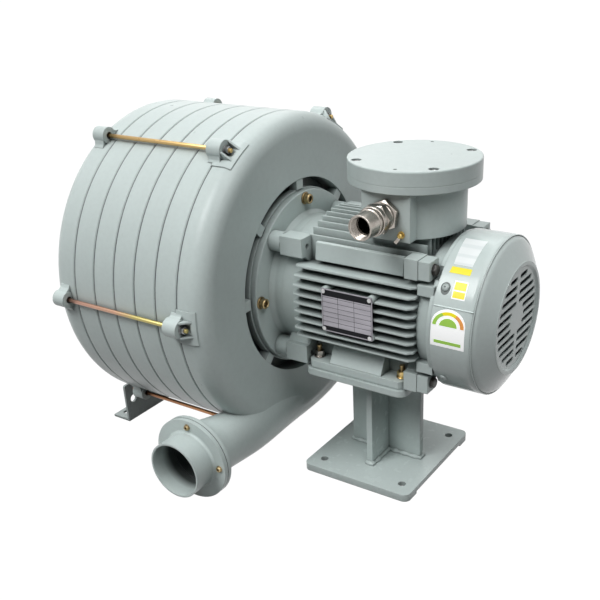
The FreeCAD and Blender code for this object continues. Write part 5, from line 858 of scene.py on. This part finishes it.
def gland():
    """Nickel-plated cable gland: rounded hexes, collars and an internally threaded mouth."""
    nut = Shape()
    nut.hexed(GLAND_AXIS + TO_MOUTH * GLAND_NUT_OUT, TO_MOUTH, flats=38.5, height=9, hole=15, both=True,
              turn=22)
    nut.done("gland_nut", "nickel", "nickel", ["gland_locknut"])
    body = Shape()
    body.turned(GLAND_AXIS + TO_MOUTH * GLAND_BODY_OUT, TO_MOUTH, GLAND_NECK, 48, loop=True)
    body.hexed(GLAND_AXIS + TO_MOUTH * GLAND_HEX_OUT, TO_MOUTH, flats=37, height=13, hole=GLAND_BORE,
               both=True, turn=5)
    ridges = [(0, 12.6), (0, 16.4)]
    for k in range(RIDGE_COUNT):
        ridges += [(1 + k * RIDGE_PITCH, 15.5), (2.1 + k * RIDGE_PITCH, 14.2)]
    ridges += [(21, 15.5), (21, 12.6)]
    body.turned(GLAND_AXIS + TO_MOUTH * GLAND_RIDGES_OUT, TO_MOUTH, ridges, 40, loop=True)
    body.done("gland_hex_body", "nickel", "nickel", ["gland_body"])
    cap = Shape()
    inside = []
    for k in range(MOUTH_THREADS):
        inside += [(36.0 - k * MOUTH_PITCH, 15.4), (34.8 - k * MOUTH_PITCH, 13.6)]
    inside += [(17.6, 13.5), (17, 15.6)]
    cap.turned(GLAND_AXIS + TO_MOUTH * GLAND_CAP_OUT, TO_MOUTH, GLAND_CAP + inside, 56, loop=True)
    cap.done("gland_mouth", "nickel", "nickel", ["gland_cap"])


EARTH_SEAT = Vector((68.5, -81, 405))
EARTH_WASHER = 1.3
EARTH_STEM = [(-9, 2.6), (-8.5, 3), (0, 3), (0, 4.7), (0.3, 5), (1.0, 5), (1.3, 4.7), (1.3, 3)]
EARTH_HEAD = [(0, 3.2), (0.5, 3.6), (4.4, 3.6), (5.6, 2.9), (6.2, 1.6), (5.2, 0.3)]
TAG_HALF = Vector((-2.0, 0, 1.25))
TAG_SHEET = 0.8
TAG_PATH = ((1.0, -1.35, 1.6), (-3.0, -1.35, -4.8), (-4.6, -2.4, -7.4), (-6.6, -5.2, -10.6))


def earth_screw():
    """Brass screw on its washer beside the gland, with a bent tag under its head."""
    screw = Shape()
    screw.turned(EARTH_SEAT, TO_MOUTH, EARTH_STEM, 28)
    screw.turned(EARTH_SEAT + TO_MOUTH * EARTH_WASHER, TO_MOUTH, EARTH_HEAD, 28)
    screw.done("earth_cheese_screw", "brass_screw", "brass_screw", ["earth_screw"])
    tag = Shape()
    rings = []
    for step in TAG_PATH:
        left, right = EARTH_SEAT + Vector(step) + TAG_HALF, EARTH_SEAT + Vector(step) - TAG_HALF
        rings.append([left, left + TO_MOUTH * TAG_SHEET, right + TO_MOUTH * TAG_SHEET, right])
    tag.skin(rings)
    tag.done("earth_tag", "nickel", "nickel")


# Welds, sealant and print
WELD_SEED = 5
WELD_LEVELS = (12.6, 172.4)
WELD_STEP = 3.4
WELD_WANDER = 0.5
WELD_RISE = 0.25
WELD_RADIUS = 4.4
WELD_SWELL = 0.8
WELD_SWELL_TURN = 1.3
WELD_SPREAD = (-0.7, 0.8)
ARM_HALF = 5
ARM_X = 61
ARM_Y = 57


def welds():
    """Fillet beads round the column's foot and head, uneven as a hand-made weld is."""
    chance = random.Random(WELD_SEED)
    h = ARM_HALF
    corners = [(h, h), (ARM_X, h), (ARM_X, -h), (h, -h), (h, -ARM_Y), (-h, -ARM_Y), (-h, -h), (-ARM_X, -h),
               (-ARM_X, h), (-h, h), (-h, ARM_Y), (h, ARM_Y)]
    beads = Shape()
    for level in WELD_LEVELS:
        path = []
        for here, there in zip(corners, corners[1:] + corners[:1]):
            here, there = Vector(here), Vector(there)
            steps = max(2, int((there - here).length / WELD_STEP))
            for k in range(steps):
                spot = here.lerp(there, k / steps)
                wander = Vector([chance.uniform(-WELD_WANDER, WELD_WANDER) for _ in range(2)])
                path.append((*(spot + wander), level + chance.uniform(-WELD_RISE, WELD_RISE)))
        sizes = [WELD_RADIUS + WELD_SWELL * math.sin(i * WELD_SWELL_TURN) + chance.uniform(*WELD_SPREAD)
                 for i in range(len(path))]
        beads.bead(path, sizes)
    beads.done("column_welds", "paint_plate", "paint_plate", crease=60)


# Section of the sealant: (along, depth under the drum's face)
SEALANT = [(-0.7, 2.4), (-1.0, 1.4), (0, 1.1), (1.0, 1.4), (0.7, 2.4)]


def joint_sealant():
    """Dark sealant squeezed into the grooves between the drum's rings."""
    seals = Shape()
    section = [(along, DRUM_RADIUS - depth) for along, depth in SEALANT]
    for k in range(JOINT_COUNT):
        seals.turned((FIRST_JOINT_X - STAGE_PITCH * k, 0, SHAFT_Z), TO_FAN, section, 240, loop=True)
    seals.done("joint_sealant", "sealant", "gasket")


# The nameplate's print: levels count from its lower edge
PRINT_FRONT_Y = -116.0
PRINT_INTO = 0.1
PRINT_LIFT = 0.12
PRINT_X = (-37.4, 41.4)
PRINT_Z = (260.6, 321.4)
PRINT_HEAD = 9.0
PRINT_FOOT = 6.6
FIRST_RULE = 13.5
RULE_PITCH = 7.2
RULE_COUNT = 6
RULE = 0.4
RULED_COLUMNS = (-12.0, 14.0)


def nameplate_print():
    """Dark bands and fine ruling printed on the bare nameplate, without any text."""
    ink = Shape()
    half = RULE / 2
    (x0, x1), (z0, z1) = PRINT_X, PRINT_Z
    fields = [(x0, x1, z1 - PRINT_HEAD, z1), (x0, x1, z0, z0 + PRINT_FOOT)]
    for k in range(RULE_COUNT):
        level = z0 + FIRST_RULE + RULE_PITCH * k
        fields.append((x0, x1, level, level + RULE))
    for x in (x0 + half, *RULED_COLUMNS, x1 - half):
        fields.append((x - half, x + half, z0 + PRINT_FOOT, z1 - PRINT_HEAD))
    for low_x, high_x, low_z, high_z in fields:
        ink.slab((low_x, PRINT_FRONT_Y - PRINT_LIFT, low_z), (high_x, PRINT_FRONT_Y + PRINT_INTO, high_z))
    ink.done("nameplate_print", "plate_ink", "plate_face")


# Labels on the fan cover: edges are (angle, x, x), and lifts are heights over its face
CLEAR_LABEL = ((101.5, 134.0, 165.8), (127.2, 138.8, 165.3))
SMALL_LABEL = ((129.0, 138.6, 166.5), (133.8, 137.2, 166.6))
WHITE_LABEL = ((138.6, 149.8, 168.4), (151.0, 150.4, 169.3))
WHITE_LABEL_FIELDS = (((139.4, 151.0, 167.3), (144.8, 151.2, 167.8)),
                      ((145.8, 151.3, 167.9), (150.2, 151.5, 168.3)))
CLEAR_LIFT = 0.2
LABEL_LIFT = 0.25
FIELD_SEAT = 0.2
FIELD_LIFT = 0.45
# The dial's half width is in millimetres, and its rise, sheet and inset are angles round the cover
DIAL_X = 153.0
DIAL_HALF = 24.0
DIAL_ANGLE = 168.6
DIAL_RISE = 10.4
DIAL_STEPS = 12
DIAL_SHEET = 16.2
DIAL_SHEET_STEPS = 8
DIAL_INSET = 1.2
DIAL_BAND = (0.72, 0.93)
DIAL_CORE = 0.52
SHEET_CREST = 0.125
CORE_CREST = 0.12
DIAL_SPANS = {"label_green": (0, 62), "label_yellow": (62, 118), "label_orange": (118, 180)}
DIAL_BAR = (((134.0, 180.2), (172.5, 180.2)), ((134.0, 182.4), (172.5, 182.4)))


def straight_label(first, last, steps=8):
    """Rows of a four-sided label from its first edge to its last."""
    rows = []
    for k in range(steps + 1):
        angle, low, high = (a + (b - a) * k / steps for a, b in zip(first, last))
        rows.append(((low, angle), (high, angle)))
    return rows


def arch(share, foot, blunt):
    """Rows of an arch over the foot's angle; share is its size, and blunt its crest's width as a share."""
    rows = []
    for k in range(DIAL_STEPS + 1):
        t = math.radians(90 * k / DIAL_STEPS)
        wide = DIAL_HALF * share * max(math.sin(t), blunt)
        angle = foot - DIAL_RISE * share * math.cos(t)
        rows.append(((DIAL_X - wide, angle), (DIAL_X + wide, angle)))
    return rows


def labels():
    """Labels on the fan cover, with plain fields of colour in place of their print."""
    clear = Shape()
    clear.film(straight_label(*CLEAR_LABEL), CLEAR_LIFT)
    clear.done("label_clear", "label_clear")
    yellow = Shape()
    yellow.film(straight_label(*SMALL_LABEL), LABEL_LIFT)
    for edges in WHITE_LABEL_FIELDS:
        yellow.film(straight_label(*edges), FIELD_LIFT, FIELD_SEAT)
    yellow.done("label_yellow", "label_yellow")
    white = Shape()
    white.film(straight_label(*WHITE_LABEL), LABEL_LIFT)
    sheet = arch(1.0, DIAL_ANGLE, SHEET_CREST)
    for k in range(1, DIAL_SHEET_STEPS + 1):
        angle = DIAL_ANGLE + DIAL_SHEET * k / DIAL_SHEET_STEPS
        sheet.append(((DIAL_X - DIAL_HALF, angle), (DIAL_X + DIAL_HALF, angle)))
    white.film(sheet, LABEL_LIFT)
    white.done("label_white", "label_white")
    foot = DIAL_ANGLE + DIAL_INSET
    for look, (low, high) in DIAL_SPANS.items():
        field = Shape()
        rows = []
        for k in range(DIAL_STEPS + 1):
            t = math.radians(low + (high - low) * k / DIAL_STEPS)
            rows.append([(DIAL_X - DIAL_HALF * share * math.cos(t), foot - DIAL_RISE * share * math.sin(t))
                         for share in DIAL_BAND])
        field.film(rows, FIELD_LIFT, FIELD_SEAT)
        if look == "label_green":
            field.film(DIAL_BAR, FIELD_LIFT, FIELD_SEAT)
            field.film(arch(DIAL_CORE, foot, CORE_CREST), FIELD_LIFT, FIELD_SEAT)
        field.done(look + "_field", look)


# The keyhole dimple is a flat dark film: a painted shadow, with no dent in the cover
DIMPLE_STEPS = 12
DIMPLE_HALF = 6.4
DIMPLE_TIP = 0.3
DIMPLE_ANGLE = 3.7
DIMPLE_TAIL = 1.35
DIMPLE_LIFT = 0.12
PRESSED_LINE_X = 128.5
PRESSED_LINE_ANGLE = 22.8
# Pressed rims: x, radius round the shaft
PRESSED_RIMS = ((205.5, 78.6), (185.6, 111.3))
PRESSED_RIM = 0.9
PRESSED_RIM_SIDES = 10


def cover_details():
    """Painted shadow of the keyhole dimple round the upper screws, the fine line along the cover's sides in
    lighter paint as a painted highlight, and its pressed rims.
    """
    dimple = Shape()
    for mirror in (False, True):
        rows = []
        for k in range(DIMPLE_STEPS + 1):
            c, s = around(1, 180 * k / DIMPLE_STEPS)
            wide = DIMPLE_HALF * s + DIMPLE_TIP
            angle = 180 - COVER_SCREW_ANGLE + DIMPLE_ANGLE * c * (DIMPLE_TAIL if c > 0 else 1.0)
            if mirror:
                angle = 180 - angle
            rows.append(((COVER_SCREW_X - wide, angle), (COVER_SCREW_X + wide, angle)))
        dimple.film(rows, DIMPLE_LIFT)
    dimple.done("cover_dimple_shadows", "shadow", "paint_plate")
    # The pressed line wears lighter paint as a painted highlight
    line = Shape()
    for angle in (180 - PRESSED_LINE_ANGLE, PRESSED_LINE_ANGLE):
        start = round_shaft(PRESSED_LINE_X, COVER_RADIUS - 0.1, angle)
        line.turned(start, TO_FAN, [(0, 0.7), (0.5, 1.1), (54, 1.0), (57, 0.4)], 12)
    line.done("cover_pressed_line", "painted_edge_highlight", "paint_plate")
    rim = Shape()
    section = [around(PRESSED_RIM, 360 * k / PRESSED_RIM_SIDES) for k in range(PRESSED_RIM_SIDES)]
    for x, radius in PRESSED_RIMS:
        rim.turned((x, 0, SHAFT_Z), TO_FAN, [(along, radius + out) for along, out in section], 128, loop=True)
    rim.done("cover_pressed_rims", "pressed", "paint_plate")


# Dressing of the CAD nodes
OTHER_LOOKS = {"fan_cover": "pressed", "discharge_spigot": "duct", "front_cover": "duct",
               "rear_bracket": "plate_dark", "fan_end_shield": "shield", "motor_frame": "finned"}


def dress_frame():
    """Give each CAD node the material of its slot, or its other look."""
    for part in frame["record"]["subparts"]:
        node = frame["nodes"][part["node"]]
        material = looks[OTHER_LOOKS.get(part["node"], part["material_slot"])]
        if not node.material_slots:
            node.data.materials.append(material)
        for slot in node.material_slots:
            slot.material = material


bpy.context.scene.view_settings.view_transform = "Standard"
make_camera()
make_world()
make_floor()
for lamp in LAMPS:
    sun(*lamp)
dress_frame()
tie_rods()
rod_nuts()
foot_fasteners()
flange_screws()
shield_screws()
discharge_screws()
rear_screws()
cover_screws()
gland()
earth_screw()
welds()
joint_sealant()
nameplate_print()
labels()
cover_details()
